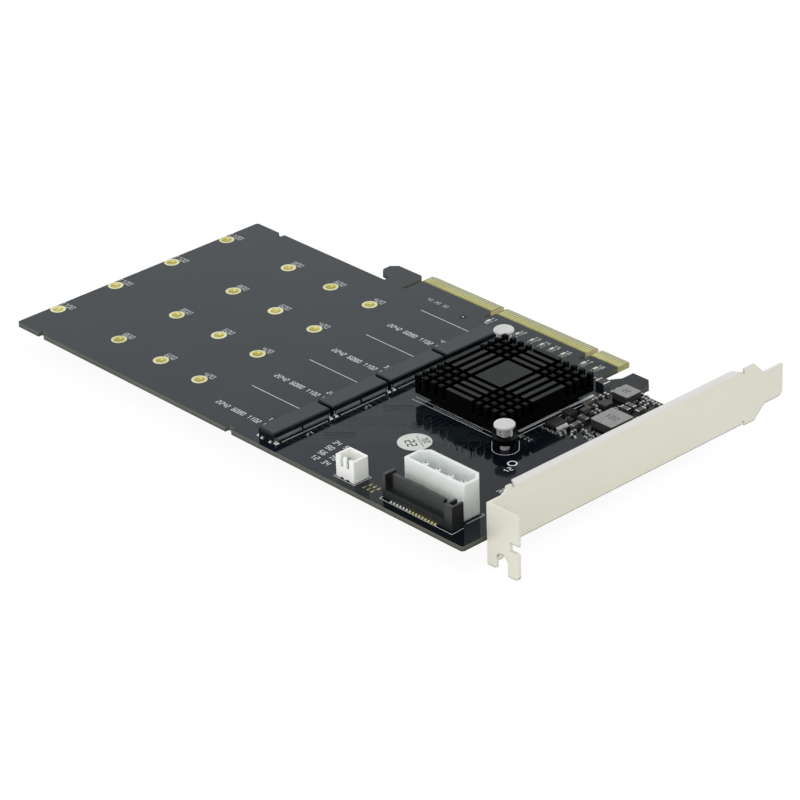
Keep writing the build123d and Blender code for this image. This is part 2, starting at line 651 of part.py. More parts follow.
# Two-pin fan header: open-topped shroud with slots in its front wall
with BuildPart() as fan_housing:
    with BuildSketch(Plane.XY.offset(TOP)):
        with Locations(FAN_CENTRE):
            Rectangle(FAN_LENGTH, FAN_DEPTH)
    extrude(amount=FAN_HEIGHT)
    fillet(fan_housing.edges().filter_by(Axis.Z), FAN_EDGE)
    with BuildSketch(Plane.XY.offset(TOP + FAN_FLOOR)):
        with Locations(FAN_CENTRE):
            Rectangle(FAN_LENGTH - FAN_WALL * 2, FAN_DEPTH - FAN_WALL * 2)
    extrude(amount=FAN_HEIGHT, mode=Mode.SUBTRACT)
    with BuildSketch(Plane.XY.offset(TOP + FAN_HEIGHT - FAN_SLOT_DEPTH)):
        with Locations(*[(x, FAN_CENTRE[1] - FAN_DEPTH / 2) for x, _ in fan_pin_places]):
            Rectangle(FAN_SLOT, FAN_WALL * 2)
    extrude(amount=FAN_SLOT_DEPTH, mode=Mode.SUBTRACT)
    with BuildSketch(Plane.XY.offset(TOP)):
        with Locations(*[(x, FAN_CENTRE[1] - FAN_DEPTH / 2) for x, _ in fan_pin_places]):
            Rectangle(FAN_FOOT_WIDTH, FAN_WALL * 2)
    extrude(amount=FAN_FOOT, mode=Mode.SUBTRACT)
    with BuildSketch(Plane.XY.offset(TOP)):
        with Locations(*fan_pin_places):
            Rectangle(FAN_PIN, FAN_PIN)
    extrude(amount=FAN_FLOOR, mode=Mode.SUBTRACT)
finish(fan_housing, "fan_header_housing")

with BuildPart() as fan_pins:
    with BuildSketch(Plane.XY.offset(BOTTOM - TAIL_BELOW)):
        with Locations(*fan_pin_places):
            Rectangle(FAN_PIN, FAN_PIN)
    extrude(amount=BOARD_THICKNESS + TAIL_BELOW + FAN_PIN_TOP)
    chamfer(fan_pins.faces().group_by(Axis.Z)[-1].edges(), FAN_PIN / 4)
finish(fan_pins, "fan_header_pins")


# Bracket: one folded sheet with a screw tab, a tongue, two lips and two ears
bracket_inner = BRACKET_FACE - BRACKET_SHEET
bracket_top = BRACKET_LOW + BRACKET_WIDTH
bracket_end = BRACKET_START + BRACKET_LENGTH
neck_low = BRACKET_LOW - NECK_STEP_LOW
neck_top = bracket_top - NECK_STEP_TOP
neck_end = BRACKET_START + NECK_LENGTH
tongue_low = BRACKET_LOW + TONGUE_LOW
tongue_top = tongue_low + TONGUE_WIDTH
lip_start = BRACKET_START + LIP_START
lip_end = BRACKET_START + LIP_END
lip_low = BRACKET_LOW + LIP_INSET
lip_top = bracket_top - LIP_INSET
tab_end = BRACKET_FACE + TAB_LENGTH
tab_low = neck_low - TAB_DROP
notch_x = BRACKET_FACE + SCREW_NOTCH_OFFSET
with BuildPart() as bracket:
    with BuildSketch(Plane.YZ.offset(bracket_inner)) as face:
        with BuildLine():
            Polyline(
                (neck_end, neck_top), (BRACKET_START, neck_top), (BRACKET_START, neck_low),
                (neck_end, neck_low), (neck_end + NECK_STEP_LOW, BRACKET_LOW), (lip_start, BRACKET_LOW),
                (lip_start, lip_low), (lip_end, lip_low), (lip_end, BRACKET_LOW),
                (SHOULDER_START, BRACKET_LOW), (TONGUE_START, tongue_low), (bracket_end, tongue_low),
                (bracket_end, tongue_top), (TONGUE_START, tongue_top), (SHOULDER_START, bracket_top),
                (lip_end, bracket_top), (lip_end, lip_top), (lip_start, lip_top), (lip_start, bracket_top),
                (neck_end + NECK_STEP_TOP, bracket_top),
            )
            JernArc((neck_end, neck_top), (1, 0), NECK_STEP_TOP, 90)
        make_face()
        # relief cuts beside the ends of the lips
        relief_depth = LIP_INSET + LIP_RELIEF_DEPTH
        with Locations(*[
            (y, z) for y in (lip_start - LIP_RELIEF / 2, lip_end + LIP_RELIEF / 2)
            for z in (BRACKET_LOW, bracket_top)
        ]):
            Rectangle(LIP_RELIEF, relief_depth * 2, mode=Mode.SUBTRACT)
        fillet(nearest(face, [(bracket_end, tongue_low), (TONGUE_START, tongue_low)]), TONGUE_CORNER)
        fillet(nearest(face, [(SHOULDER_START, BRACKET_LOW)]), SHOULDER_CORNER)
    extrude(amount=BRACKET_SHEET)
    # screw tab, folded outwards
    with BuildSketch(Plane.XZ.offset(-BRACKET_START)) as tab:
        with BuildLine():
            Polyline(
                (bracket_inner, neck_top), (tab_end - TAB_TOP_CUT, neck_top),
                (tab_end, neck_top - TAB_TOP_CUT), (tab_end, tab_low), (notch_x, tab_low),
                (notch_x, neck_low), (bracket_inner, neck_low), close=True,
            )
        make_face()
        with Locations((notch_x, neck_low)):
            SlotOverall(SCREW_NOTCH_DEPTH * 2, SCREW_NOTCH, rotation=90, mode=Mode.SUBTRACT)
        with Locations((tab_end, neck_low + TAB_RELIEF_HEIGHT)):
            Rectangle(TAB_RELIEF_DEPTH * 2, TAB_RELIEF, mode=Mode.SUBTRACT)
        fillet(nearest(tab, [(tab_end, tab_low)]), TAB_CORNER)
        fillet(nearest(tab, [
            (notch_x - SCREW_NOTCH / 2, neck_low), (notch_x + SCREW_NOTCH / 2, tab_low),
            (tab_end, neck_low + TAB_RELIEF_HEIGHT - TAB_RELIEF / 2),
        ]), PRONG_CORNER)
    extrude(amount=-BRACKET_SHEET)
    # lips along both long edges
    for z in (lip_low, lip_top - BRACKET_SHEET):
        with BuildSketch(Plane.XY.offset(z)):
            with BuildLine():
                Polyline(
                    (BRACKET_FACE, lip_start), (BRACKET_FACE - LIP_DEPTH, lip_start + LIP_DEPTH / 2),
                    (BRACKET_FACE - LIP_DEPTH, lip_end - LIP_DEPTH / 2), (BRACKET_FACE, lip_end), close=True,
                )
            make_face()
        extrude(amount=BRACKET_SHEET)
    # ears: the lower lip reaches under the board and steps up to its solder side
    lip_inner = lip_low + BRACKET_SHEET
    ear_inner = BOTTOM - BRACKET_SHEET
    ear_end = BRACKET_FACE - EAR_REACH
    bend_x = BRACKET_FACE - LIP_DEPTH - EAR_BEND
    inner_bend_x = BRACKET_FACE - LIP_DEPTH - EAR_BEND / 2
    for y in EAR_CENTRES:
        with BuildSketch(Plane.XZ.offset(-y - EAR_WIDTH / 2)):
            with BuildLine():
                Polyline(
                    (BRACKET_FACE, lip_low), (bend_x, lip_low), (bend_x - EAR_RAMP, ear_inner),
                    (ear_end, ear_inner), (ear_end, BOTTOM), (inner_bend_x - EAR_RAMP, BOTTOM),
                    (inner_bend_x, lip_inner), (BRACKET_FACE, lip_inner), close=True,
                )
            make_face()
        extrude(amount=EAR_WIDTH)
    with BuildSketch(Plane.XY.offset(BOTTOM)):
        with Locations(*ear_screws):
            Circle(SCREW_THREAD / 2)
    extrude(amount=-BRACKET_SHEET, mode=Mode.SUBTRACT)
finish(bracket, "bracket")

with BuildPart() as bracket_screws:
    with BuildSketch(Plane.XY.offset(TOP)):
        with Locations(*ear_screws):
            Circle(SCREW_HEAD / 2)
    extrude(amount=SCREW_HEAD_THICKNESS)
    chamfer(bracket_screws.faces().group_by(Axis.Z)[-1].edges(), SCREW_HEAD_THICKNESS / 3)
    with BuildSketch(Plane.XY.offset(TOP)):
        with Locations(*ear_screws):
            Circle(SCREW_THREAD / 2)
    extrude(amount=-BOARD_THICKNESS - BRACKET_SHEET - SCREW_TIP)
    for angle in (0, 90):
        with BuildSketch(Plane.XY.offset(TOP + SCREW_HEAD_THICKNESS)):
            with Locations(*ear_screws):
                Rectangle(SCREW_RECESS, SCREW_RECESS_WIDTH, rotation=angle)
        extrude(amount=-SCREW_HEAD_THICKNESS / 2, mode=Mode.SUBTRACT)
finish(bracket_screws, "bracket_screws")


# Coils: a moulded block over two flat feet
def coil(centre, size, label):
    """Moulded coil with a flat foot at each side."""
    length, depth, height = size
    with BuildPart() as block:
        with BuildSketch(Plane.XY.offset(TOP + COIL_FOOT)):
            with Locations(centre):
                Rectangle(length, depth)
        extrude(amount=height - COIL_FOOT)
        chamfer(block.edges().filter_by(Axis.Z), COIL_EDGE)
        chamfer(block.faces().sort_by(Axis.Z)[-1].edges(), COIL_EDGE / 3)
    finish(block, label)
    with BuildPart() as feet:
        with BuildSketch(Plane.XY.offset(TOP)):
            for side in (-1, 1):
                reach = length / 4 + COIL_FOOT_REACH
                with Locations((centre[0] + side * (length / 2 + COIL_FOOT_REACH - reach / 2), centre[1])):
                    Rectangle(reach, COIL_FOOT_WIDTH)
        extrude(amount=COIL_FOOT)
    finish(feet, label + "_feet")


coil(COIL_SMALL_CENTRE, COIL_SMALL, "small_coil")
coil(COIL_LARGE_CENTRE, COIL_LARGE, "large_coil")


# Leaded controller
length, depth, height = CONTROLLER_BODY
with BuildPart() as controller:
    with BuildSketch(Plane.XY.offset(TOP + LEAD_THICKNESS)):
        with Locations(CONTROLLER_CENTRE):
            Rectangle(length, depth)
    extrude(amount=height - LEAD_THICKNESS)
    chamfer(controller.faces().sort_by(Axis.Z)[-1].edges(), LEAD_THICKNESS)
finish(controller, "power_controller")

with BuildPart() as controller_leads:
    with BuildSketch(Plane.XY.offset(TOP)):
        for side in (-1, 1):
            with Locations((CONTROLLER_CENTRE[0] + side * length / 2, CONTROLLER_CENTRE[1])):
                with GridLocations(0, CONTROLLER_PITCH, 1, CONTROLLER_PINS):
                    Rectangle(LEAD_REACH * 2, LEAD_WIDTH)
    extrude(amount=LEAD_THICKNESS)
finish(controller_leads, "power_controller_leads")


def quarter_places(places):
    """Placed frames for parts that stand straight or turned by a quarter."""
    return [Location((x, y), 90 * turned) for x, y, turned in places]


def chip_bodies(size, places, label, inset):
    """Blocks seated on the board, set in from their end caps."""
    length, depth, height = size
    with BuildPart() as bodies:
        with BuildSketch(Plane.XY.offset(TOP)):
            with Locations(*quarter_places(places)):
                Rectangle(length - inset * 2, depth)
        extrude(amount=height)
    finish(bodies, label)


chip_bodies(SWITCH_BODY, SWITCH_PLACES, "power_switches", 0)
chip_bodies(CERAMIC_LARGE, CERAMIC_LARGE_PLACES, "large_ceramic_capacitors", TERMINAL)
chip_bodies(CERAMIC_SMALL, CERAMIC_SMALL_PLACES, "small_ceramic_capacitors", 0)
chip_bodies(RESISTOR, resistor_places, "chip_resistors", 0)
chip_bodies(MOULDED, MOULDED_PLACES, "moulded_capacitors", TERMINAL)
chip_bodies(LAMP, [(x, LAMP_Y, 1) for x in LAMP_PLACES], "status_lamps", 0)

with BuildPart() as chip_end_caps:
    for size, places in ((CERAMIC_LARGE, CERAMIC_LARGE_PLACES), (MOULDED, MOULDED_PLACES)):
        length, depth, height = size
        with BuildSketch(Plane.XY.offset(TOP)):
            with Locations(*quarter_places(places)):
                with Locations((TERMINAL / 2 - length / 2, 0), (length / 2 - TERMINAL / 2, 0)):
                    Rectangle(TERMINAL, depth)
        extrude(amount=height)
finish(chip_end_caps, "chip_end_caps")

with BuildPart() as inspection_label:
    with BuildSketch(Plane.XY.offset(TOP)):
        with Locations(LABEL_CENTRE):
            Circle(LABEL_DIAMETER / 2)
    extrude(amount=LABEL_THICKNESS)
finish(inspection_label, "round_label")
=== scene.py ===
import math
import random
from itertools import product

import bmesh
import bpy
from mathutils import Matrix, Vector


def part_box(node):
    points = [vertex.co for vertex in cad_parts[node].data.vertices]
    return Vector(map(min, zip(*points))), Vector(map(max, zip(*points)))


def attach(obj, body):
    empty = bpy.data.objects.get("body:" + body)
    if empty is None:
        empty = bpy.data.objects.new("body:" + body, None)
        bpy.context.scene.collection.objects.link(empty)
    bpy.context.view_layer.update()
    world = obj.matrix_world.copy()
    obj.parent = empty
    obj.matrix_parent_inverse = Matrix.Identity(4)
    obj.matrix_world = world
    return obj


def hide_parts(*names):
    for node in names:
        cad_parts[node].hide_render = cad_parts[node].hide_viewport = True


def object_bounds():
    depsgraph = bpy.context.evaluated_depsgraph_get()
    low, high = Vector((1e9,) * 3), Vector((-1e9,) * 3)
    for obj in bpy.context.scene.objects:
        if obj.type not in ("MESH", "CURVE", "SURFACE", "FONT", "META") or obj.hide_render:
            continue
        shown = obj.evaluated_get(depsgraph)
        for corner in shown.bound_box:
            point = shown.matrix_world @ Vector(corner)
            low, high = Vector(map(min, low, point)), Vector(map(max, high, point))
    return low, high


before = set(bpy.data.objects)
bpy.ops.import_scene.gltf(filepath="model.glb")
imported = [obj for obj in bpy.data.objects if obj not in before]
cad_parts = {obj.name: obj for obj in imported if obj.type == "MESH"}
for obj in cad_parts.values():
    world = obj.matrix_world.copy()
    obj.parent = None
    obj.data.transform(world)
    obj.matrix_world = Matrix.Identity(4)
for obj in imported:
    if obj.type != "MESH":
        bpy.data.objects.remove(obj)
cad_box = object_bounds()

MM = 0.001
dice = random.Random(7)

# Board faces, in millimetres; thin marks reach a little way into the face they lie on
board_low, board_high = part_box("circuit_board")
TOP = board_high.z / MM
BOTTOM = board_low.z / MM
SUNK = 0.01

# Module lanes with their screw holes, sockets and rows of contacts
LANES = [-97.0, -74.0, -51.0, -28.0]
MODULE_DATUM = -30.4
MODULE_LENGTHS = [42, 60, 80, 110]
HOLES = [(MODULE_DATUM - length, y, length) for y in LANES for length in MODULE_LENGTHS]
HOLE_RADIUS = 1.55
SOCKET_LEFT = -32.8
SOCKET_RIGHT = -26.2
SOCKET_ROW = [(n - 17.5) * 0.5 for n in range(36)]
SOCKET_KEY = -6.1
KEY_HALF = 0.7
ANCHOR = 10.45

# Heat sink, push pins, supply controller and lamps
SINK_CENTRE = (2.25, -42.85)
SINK_HALF = 18.5
SINK_LEFT = SINK_CENTRE[0] - SINK_HALF
SINK_RIGHT = SINK_CENTRE[0] + SINK_HALF
SINK_FRONT = SINK_CENTRE[1] - SINK_HALF
PIN_PLACES = {"front": (23.55, -63.65), "rear": (-19.05, -22.05)}
CONTROLLER_X = 24.3
CONTROLLER_ROW = [-43.6 + (n - 3) * 0.65 for n in range(7)]
LAMP_Y = -11.0
LAMPS = [(x, LAMP_Y, 1) for x in (-37.2, -24.6, -18.4, -14.2, -10.0, -5.2, 3.4, 8.4)]

# Pins of the power socket and the fan header, tails of the power plug
POWER_PINS = [(25.98 + n * 5.08, -96.85) for n in range(4)]
FAN_PINS = [(3.2, -105.25), (5.7, -105.25)]
PLUG_TAILS = [(32.25 + (n - 7) * 1.27, -107.4) for n in range(15)]
PALE_TAILS = 6


# Materials

MASK_TINT = (0.66, 0.85, 1.0, 1.0)
MASK_TINT_GREEN = (0.66, 0.9, 0.92, 1.0)

# Limits between finishes, and of painted shade and a painted reflection, in metres
# Span along x over which the mask's reflection is turned down towards the bracket end: painted
# shade
PAINTED_SHADE_SPAN = (-0.06, 0.045)
CONNECTOR_SPAN = (-0.0735, 0.0135)
LAST_WALL_X = 0.0115
BARE_TIPS_Y = -0.0053
BARE_WALLS_Y = -0.0058
GREYER_TIPS = (-0.0032, -0.0018)
# Span and front limit of the bracket's up-facing lip faces, which get a painted reflection
LIP_SHEEN_SPAN = (0.0, 0.0683)
LIP_SHEEN_FRONT_Y = -0.0985


def linear(code):
    """Linear colour of a six-figure code."""
    parts = [int(code[i:i + 2], 16) / 255 for i in (0, 2, 4)]
    return tuple(
        c / 12.92 if c <= 0.04045 else ((c + 0.055) / 1.055) ** 2.4 for c in parts
    ) + (1.0,)


def grey(level):
    return (level, level, level, 1)


class Look:
    """One material and its node tree."""

    def __init__(self, name, roughness, metallic=0.0, **sockets):
        self.material = bpy.data.materials.new(name)
        self.material.use_nodes = True
        self.tree = self.material.node_tree
        self.shader = self.tree.nodes["Principled BSDF"]
        self.shader.inputs["Roughness"].default_value = roughness
        self.shader.inputs["Metallic"].default_value = metallic
        for socket, value in sockets.items():
            self.shader.inputs[socket.replace("_", " ")].default_value = value
        self.place = self.add("ShaderNodeTexCoord").outputs["Object"]

    def add(self, kind, **settings):
        made = self.tree.nodes.new(kind)
        for key, value in settings.items():
            setattr(made, key, value)
        return made

    def put(self, socket, value):
        """Link an output to a socket, or set the socket to a value."""
        if isinstance(value, bpy.types.NodeSocket):
            self.tree.links.new(value, socket)
        else:
            socket.default_value = value

    def calc(self, operation, first, second=0.0):
        made = self.add("ShaderNodeMath", operation=operation)
        for socket, value in zip(made.inputs, (first, second)):
            self.put(socket, value)
        return made.outputs[0]

    def stretched(self, scale):
        made = self.add("ShaderNodeMapping")
        self.put(made.inputs["Vector"], self.place)
        made.inputs["Scale"].default_value = scale
        return made.outputs[0]

    def noise(self, scale, detail, rough=0.55, place=None):
        made = self.add("ShaderNodeTexNoise")
        self.put(made.inputs["Vector"], place or self.place)
        made.inputs["Scale"].default_value = scale
        made.inputs["Detail"].default_value = detail
        made.inputs["Roughness"].default_value = rough
        return made.outputs["Fac"]

    def ramp(self, value, low, high, low_out=0.0, high_out=1.0):
        made = self.add("ShaderNodeMapRange", clamp=True)
        for socket, number in zip(made.inputs, (value, low, high, low_out, high_out)):
            self.put(socket, number)
        return made.outputs[0]

    def mix(self, share, first, second):
        made = self.add("ShaderNodeMix", data_type="RGBA", blend_type="MIX")
        self.put(made.inputs[0], share)
        self.put(made.inputs[6], first)
        self.put(made.inputs[7], second)
        return made.outputs[2]

    def clouds(self, pattern, dark, light, low=0.35, high=0.65):
        """Colour that drifts between two codes along a pattern."""
        return self.mix(self.ramp(pattern, low, high), linear(dark), linear(light))

    def within(self, value, low, high):
        """1 between two limits, 0 outside them."""
        above = self.calc("GREATER_THAN", value, low)
        return self.calc("MULTIPLY", above, self.calc("LESS_THAN", value, high))

    def axes(self):
        made = self.add("ShaderNodeSeparateXYZ")
        self.put(made.inputs[0], self.place)
        return made.outputs

    def facing(self):
        """Z of the true normal: 1 on faces that look up."""
        normal = self.add("ShaderNodeSeparateXYZ")
        self.put(normal.inputs[0], self.add("ShaderNodeNewGeometry").outputs["True Normal"])
        return normal.outputs[2]

    def bevel(self, radius, samples):
        """Normal of softened edges."""
        made = self.add("ShaderNodeBevel", samples=samples)
        made.inputs["Radius"].default_value = radius
        return made.outputs[0]

    def colour(self, value):
        self.put(self.shader.inputs["Base Color"], value)

    def rough(self, value):
        self.put(self.shader.inputs["Roughness"], value)

    def rough_patches(self, pattern, smooth, dull):
        """Roughness that drifts between two values along a pattern."""
        self.rough(self.ramp(pattern, 0.3, 0.7, smooth, dull))

    def relief(self, height, strength, distance, bevel=0.0):
        made = self.add("ShaderNodeBump")
        made.inputs["Strength"].default_value = strength
        made.inputs["Distance"].default_value = distance
        self.put(made.inputs["Height"], height)
        if bevel:
            self.put(made.inputs["Normal"], self.bevel(bevel, 4))
        self.put(self.shader.inputs["Normal"], made.outputs[0])


def moulded(name, dark, light, roughness, bevel=0.0001, **sockets):
    """Moulded or fired material: cloudy colour, fine tooth and softened edges."""
    look = Look(name, roughness, **sockets)
    look.colour(look.clouds(look.noise(120, 4), dark, light))
    look.rough_patches(look.noise(900, 3), roughness - 0.06, roughness + 0.08)
    look.relief(look.noise(5400, 2), 0.15, 0.00004, bevel)
    return look.material


def metal(name, dark, light, roughness, stretch=(1, 1, 1), grain=1500, depth=0.12):
    """Bare or plated metal: drawn grain, patches of dullness and softened edges."""
    look = Look(name, roughness, 1.0)
    cloud = look.noise(60, 4)
    streak = look.noise(grain, 3, 0.6, look.stretched(stretch))
    look.colour(look.clouds(cloud, dark, light))
    dull = look.ramp(streak, 0.3, 0.7, roughness - 0.07, roughness + 0.08)
    look.rough(look.calc("ADD", dull, look.ramp(cloud, 0.3, 0.7, -0.03, 0.03)))
    look.relief(streak, depth, 0.00002, 0.00008)
    return look.material


def board_look():
    """Glossy solder mask on the faces, bare laminate at the tips, layered glass on the edges."""
    look = Look("solder_mask_board", 0.07, IOR=1.38)
    drift = look.ramp(look.noise(11, 2), 0.42, 0.62)
    look.put(look.shader.inputs["Specular Tint"], look.mix(drift, MASK_TINT, MASK_TINT_GREEN))
    x, y, z = look.axes()
    # Weaker reflection towards the bracket end of the board: painted shade
    look.put(look.shader.inputs["Specular IOR Level"], look.ramp(x, *PAINTED_SHADE_SPAN, 0.5, 0.24))
    on_face = look.calc("GREATER_THAN", look.calc("ABSOLUTE", look.facing()), 0.9)
    mask = look.clouds(look.noise(22, 3), "0a0d14", "0d1317")
    weave = look.noise(700, 2, 0.5, look.stretched((1.0, 0.12, 1.0)))
    weft = look.noise(700, 2, 0.5, look.stretched((0.12, 1.0, 1.0)))
    bare = look.clouds(look.calc("MULTIPLY", weave, weft), "77763f", "9c9c62", 0.15, 0.4)
    along = look.within(x, *CONNECTOR_SPAN)
    tips = look.calc("MULTIPLY", look.calc("GREATER_THAN", y, BARE_TIPS_Y), along)
    layers = look.noise(900, 2, 0.5, look.stretched((0.05, 0.05, 6.0)))
    edge = look.clouds(layers, "4c4e47", "64665d")
    # The edge is darker towards its bottom and lighter towards its top: painted shade and painted
    # highlight
    edge = look.mix(look.ramp(z, -0.00079, -0.0002), linear("3a3b34"), edge)
    edge = look.mix(look.ramp(z, 0.0004, 0.0007), edge, linear("66685f"))
    walls = look.clouds(layers, "bdb07f", "d6ca9f")
    walls = look.mix(look.calc("GREATER_THAN", x, LAST_WALL_X), walls, linear("aeac72"))
    tip_walls = look.calc("MULTIPLY", look.calc("GREATER_THAN", y, BARE_WALLS_Y), along)
    edge = look.mix(tip_walls, edge, walls)
    look.colour(look.mix(on_face, edge, look.mix(tips, mask, bare)))
    dull = look.ramp(look.noise(160, 4), 0.3, 0.7, 0.05, 0.1)
    look.rough(look.mix(on_face, grey(0.7), look.mix(tips, dull, grey(0.45))))
    look.relief(look.noise(1500, 2), 0.04, 0.00001)
    return look.material


def mask_over(name, dark, light, smooth, dull, **sockets):
    """Solder mask over one kind of ground, copper or bare laminate."""
    look = Look(name, dull, **sockets)
    look.colour(look.clouds(look.noise(220, 3), dark, light, 0.3, 0.7))
    look.rough_patches(look.noise(300, 3), smooth, dull)
    look.relief(look.noise(3000, 2), 0.05, 0.00002)
    return look.material


def finger_look():
    """Hard gold on the contacts, duller and greyer towards the tips."""
    look = Look("contact_gold", 0.28, 1.0)
    streak = look.noise(1500, 3, 0.6, look.stretched((1, 0.1, 1)))
    gold = look.clouds(look.noise(60, 4), "bab976", "cccb8d")
    gold = look.mix(look.ramp(streak, 0.35, 0.7, 0.0, 0.3), gold, linear("a9a75c"))
    look.colour(look.mix(look.ramp(look.axes()[1], *GREYER_TIPS), gold, linear("b4b59a")))
    look.rough_patches(streak, 0.22, 0.36)
    look.relief(streak, 0.1, 0.00002, 0.00005)
    return look.material


def sink_look():
    """Black anodised aluminium with a fine blasted tooth; its flanks are darker and reflect less
    than its tops, as painted shade.
    """
    look = Look("black_anodised", 0.3, Specular_Tint=(0.7, 1.0, 1.0, 1.0))
    # Faces that don't look up get a darker colour and a weaker reflection: painted shade
    up = look.ramp(look.facing(), 0.3, 0.9)
    look.colour(look.mix(up, linear("050506"), look.clouds(look.noise(120, 4), "090a0a", "0e1010")))
    look.put(look.shader.inputs["Specular IOR Level"], look.ramp(up, 0.0, 1.0, 0.05, 0.13))
    look.rough_patches(look.noise(1300, 3), 0.26, 0.4)
    look.relief(look.noise(6500, 2), 0.2, 0.00003, 0.00006)
    return look.material


def coil_look():
    """Pressed iron powder: pale speckled top, darker sides."""
    look = Look("coil_ferrite", 0.6)
    up = look.calc("GREATER_THAN", look.facing(), 0.7)
    speck = look.ramp(look.noise(900, 4, 0.7), 0.3, 0.7)
    top = look.mix(speck, linear("7f7f80"), linear("9a9a9b"))
    side = look.mix(speck, linear("222223"), linear("343435"))
    look.colour(look.mix(up, side, top))
    look.rough(look.ramp(speck, 0.0, 1.0, 0.5, 0.7))
    look.relief(look.noise(4200, 2), 0.3, 0.00003, 0.0001)
    return look.material


def ink_look():
    """Printed ink: chalky, a little thin in places."""
    look = Look("printed_ink", 0.75)
    worn = look.noise(2500, 3, 0.7)
    look.colour(look.clouds(worn, "c2c6ca", "f2f4f4", 0.35, 0.6))
    look.relief(worn, 0.2, 0.00001)
    return look.material


def nylon_look(name, light, shade, depth=0.0035):
    """Unfilled white nylon: light goes a little way in, and thick places look greener."""
    look = Look(name, 0.4, Subsurface_Weight=0.65, Subsurface_Scale=depth)
    look.shader.inputs["Subsurface Radius"].default_value = (0.8, 1.0, 0.9)
    look.colour(look.clouds(look.noise(90, 3), shade, light, 0.3, 0.7))
    look.rough_patches(look.noise(700, 3), 0.3, 0.46)
    look.relief(look.noise(3500, 2), 0.08, 0.00003, 0.00015)
    return look.material


def bracket_look():
    """Zinc-plated rolled sheet: satin, faintly warm; the cooler up-facing lip is a painted
    reflection, and the dark lower edges are painted shade.
    """
    look = Look("zinc_sheet", 0.45, 0.4)
    lines = look.noise(1400, 4, 0.6, look.stretched((1.0, 0.03, 1.0)))
    warm = look.clouds(look.noise(25, 4), "dcdbcb", "e2e1d3", 0.3, 0.7)
    sheet = look.mix(look.ramp(lines, 0.3, 0.7, 0.0, 0.07), warm, linear("cac8b8"))
    x, y, _ = look.axes()
    # Up-facing faces of the top lip get a cooler light grey: painted reflection
    up = look.calc("GREATER_THAN", look.facing(), 0.7)
    lip_sheen = look.calc("MULTIPLY", up, look.within(x, *LIP_SHEEN_SPAN))
    lip_sheen = look.calc("MULTIPLY", lip_sheen, look.calc("GREATER_THAN", y, LIP_SHEEN_FRONT_Y))
    sheet = look.mix(lip_sheen, sheet, linear("d9d9d6"))
    # Faces whose softened normal tips downwards are darkened: painted shade along the lower edges
    bent = look.add("ShaderNodeSeparateXYZ")
    look.put(bent.inputs[0], look.bevel(0.0006, 6))
    under_shade = look.ramp(bent.outputs[2], -0.08, -0.4)
    look.colour(look.mix(under_shade, sheet, linear("77776e")))
    spangle = look.add("ShaderNodeTexVoronoi")
    look.put(spangle.inputs["Vector"], look.place)
    spangle.inputs["Scale"].default_value = 900
    dull = look.ramp(lines, 0.3, 0.7, 0.4, 0.5)
    grains = look.ramp(spangle.outputs["Distance"], 0.0, 0.8, -0.02, 0.03)
    look.rough(look.calc("ADD", dull, grains))
    look.relief(lines, 0.04, 0.00002, 0.00012)
    return look.material


def label_look():
    """Paper label with a fine tooth."""
    look = Look("label_paper", 0.6)
    look.colour(look.clouds(look.noise(900, 4), "c8cfc8", "d8ddd7", 0.3, 0.7))
    look.relief(look.noise(4500, 3), 0.15, 0.00002)
    return look.material


def lamp_look():
    """Clear resin over a pale base."""
    look = Look("lamp_resin", 0.2, Coat_Weight=0.6, Coat_Roughness=0.1)
    look.colour(look.clouds(look.noise(900, 2), "b4b698", "d0d2bb"))
    look.relief(look.noise(3000, 2), 0.06, 0.00002, 0.00008)
    return look.material


BOARD = board_look()
COPPER = mask_over(
    "mask_over_copper", "22292a", "2b3334", 0.08, 0.16, IOR=1.4, Specular_Tint=MASK_TINT,
)
GAP = mask_over("mask_over_gap", "0a0c0c", "12171a", 0.25, 0.4, Specular_IOR_Level=0.1)
INK = ink_look()
BRACKET = bracket_look()
LABEL = label_look()
LAMP = lamp_look()
NYLON = nylon_look("white_nylon", "eef3f0", "dfe7e3")
HEADER_NYLON = nylon_look("header_nylon", "fafaf7", "f1f2ee", 0.0006)
PIN_NYLON = nylon_look("push_pin_nylon", "cfd0ce", "c5c6c4")
FINGER = finger_look()
GOLD = metal("gold_plate", "c4b878", "dcd49c", 0.3, (1, 0.1, 1))
PAD_PLATE = metal("pad_plate", "9c966a", "c6c192", 0.38)
RING = metal("ring_plate", "d2d2a4", "e6e5c0", 0.34)
BARREL = metal("barrel_plate", "c2b96a", "dcd590", 0.42)
TAIL = metal("tail_plate", "808284", "a6a8a9", 0.35)
TIN = metal("tin_plate", "c6c6c4", "e6e6e4", 0.27)
SOLDER = metal("solder", "a9abab", "d2d4d4", 0.24, grain=700, depth=0.3)
STEEL = metal("spring_steel", "a9a9a8", "cfcfcd", 0.26)
SCREW = metal("screw_steel", "bdbcb4", "d8d7cf", 0.32)
RESIN = moulded(
    "black_resin", "0c0d0f", "121417", 0.22, 0.00006, IOR=1.44, Specular_Tint=MASK_TINT,
)
# Lighter grey for the ledges of the black sockets: painted reflection
LEDGE_SHEEN_RESIN = moulded("ledge_sheen_resin", "434a4c", "596163", 0.4)
CHARCOAL = moulded("charcoal_resin", "17191a", "202324", 0.36)
CHIP = moulded("chip_resin", "1a1b1c", "262728", 0.55)
ANODISED = sink_look()
THERMAL_PAD = moulded("thermal_pad", "7d838a", "8f959c", 0.8)
FERRITE = coil_look()
CERAMIC = moulded("capacitor_ceramic", "3d3b37", "66635d", 0.36)
GLAZE = moulded("resistor_glaze", "101114", "1b1c20", 0.25)
TANTALUM = moulded("moulded_capacitor", "16171a", "202226", 0.45)

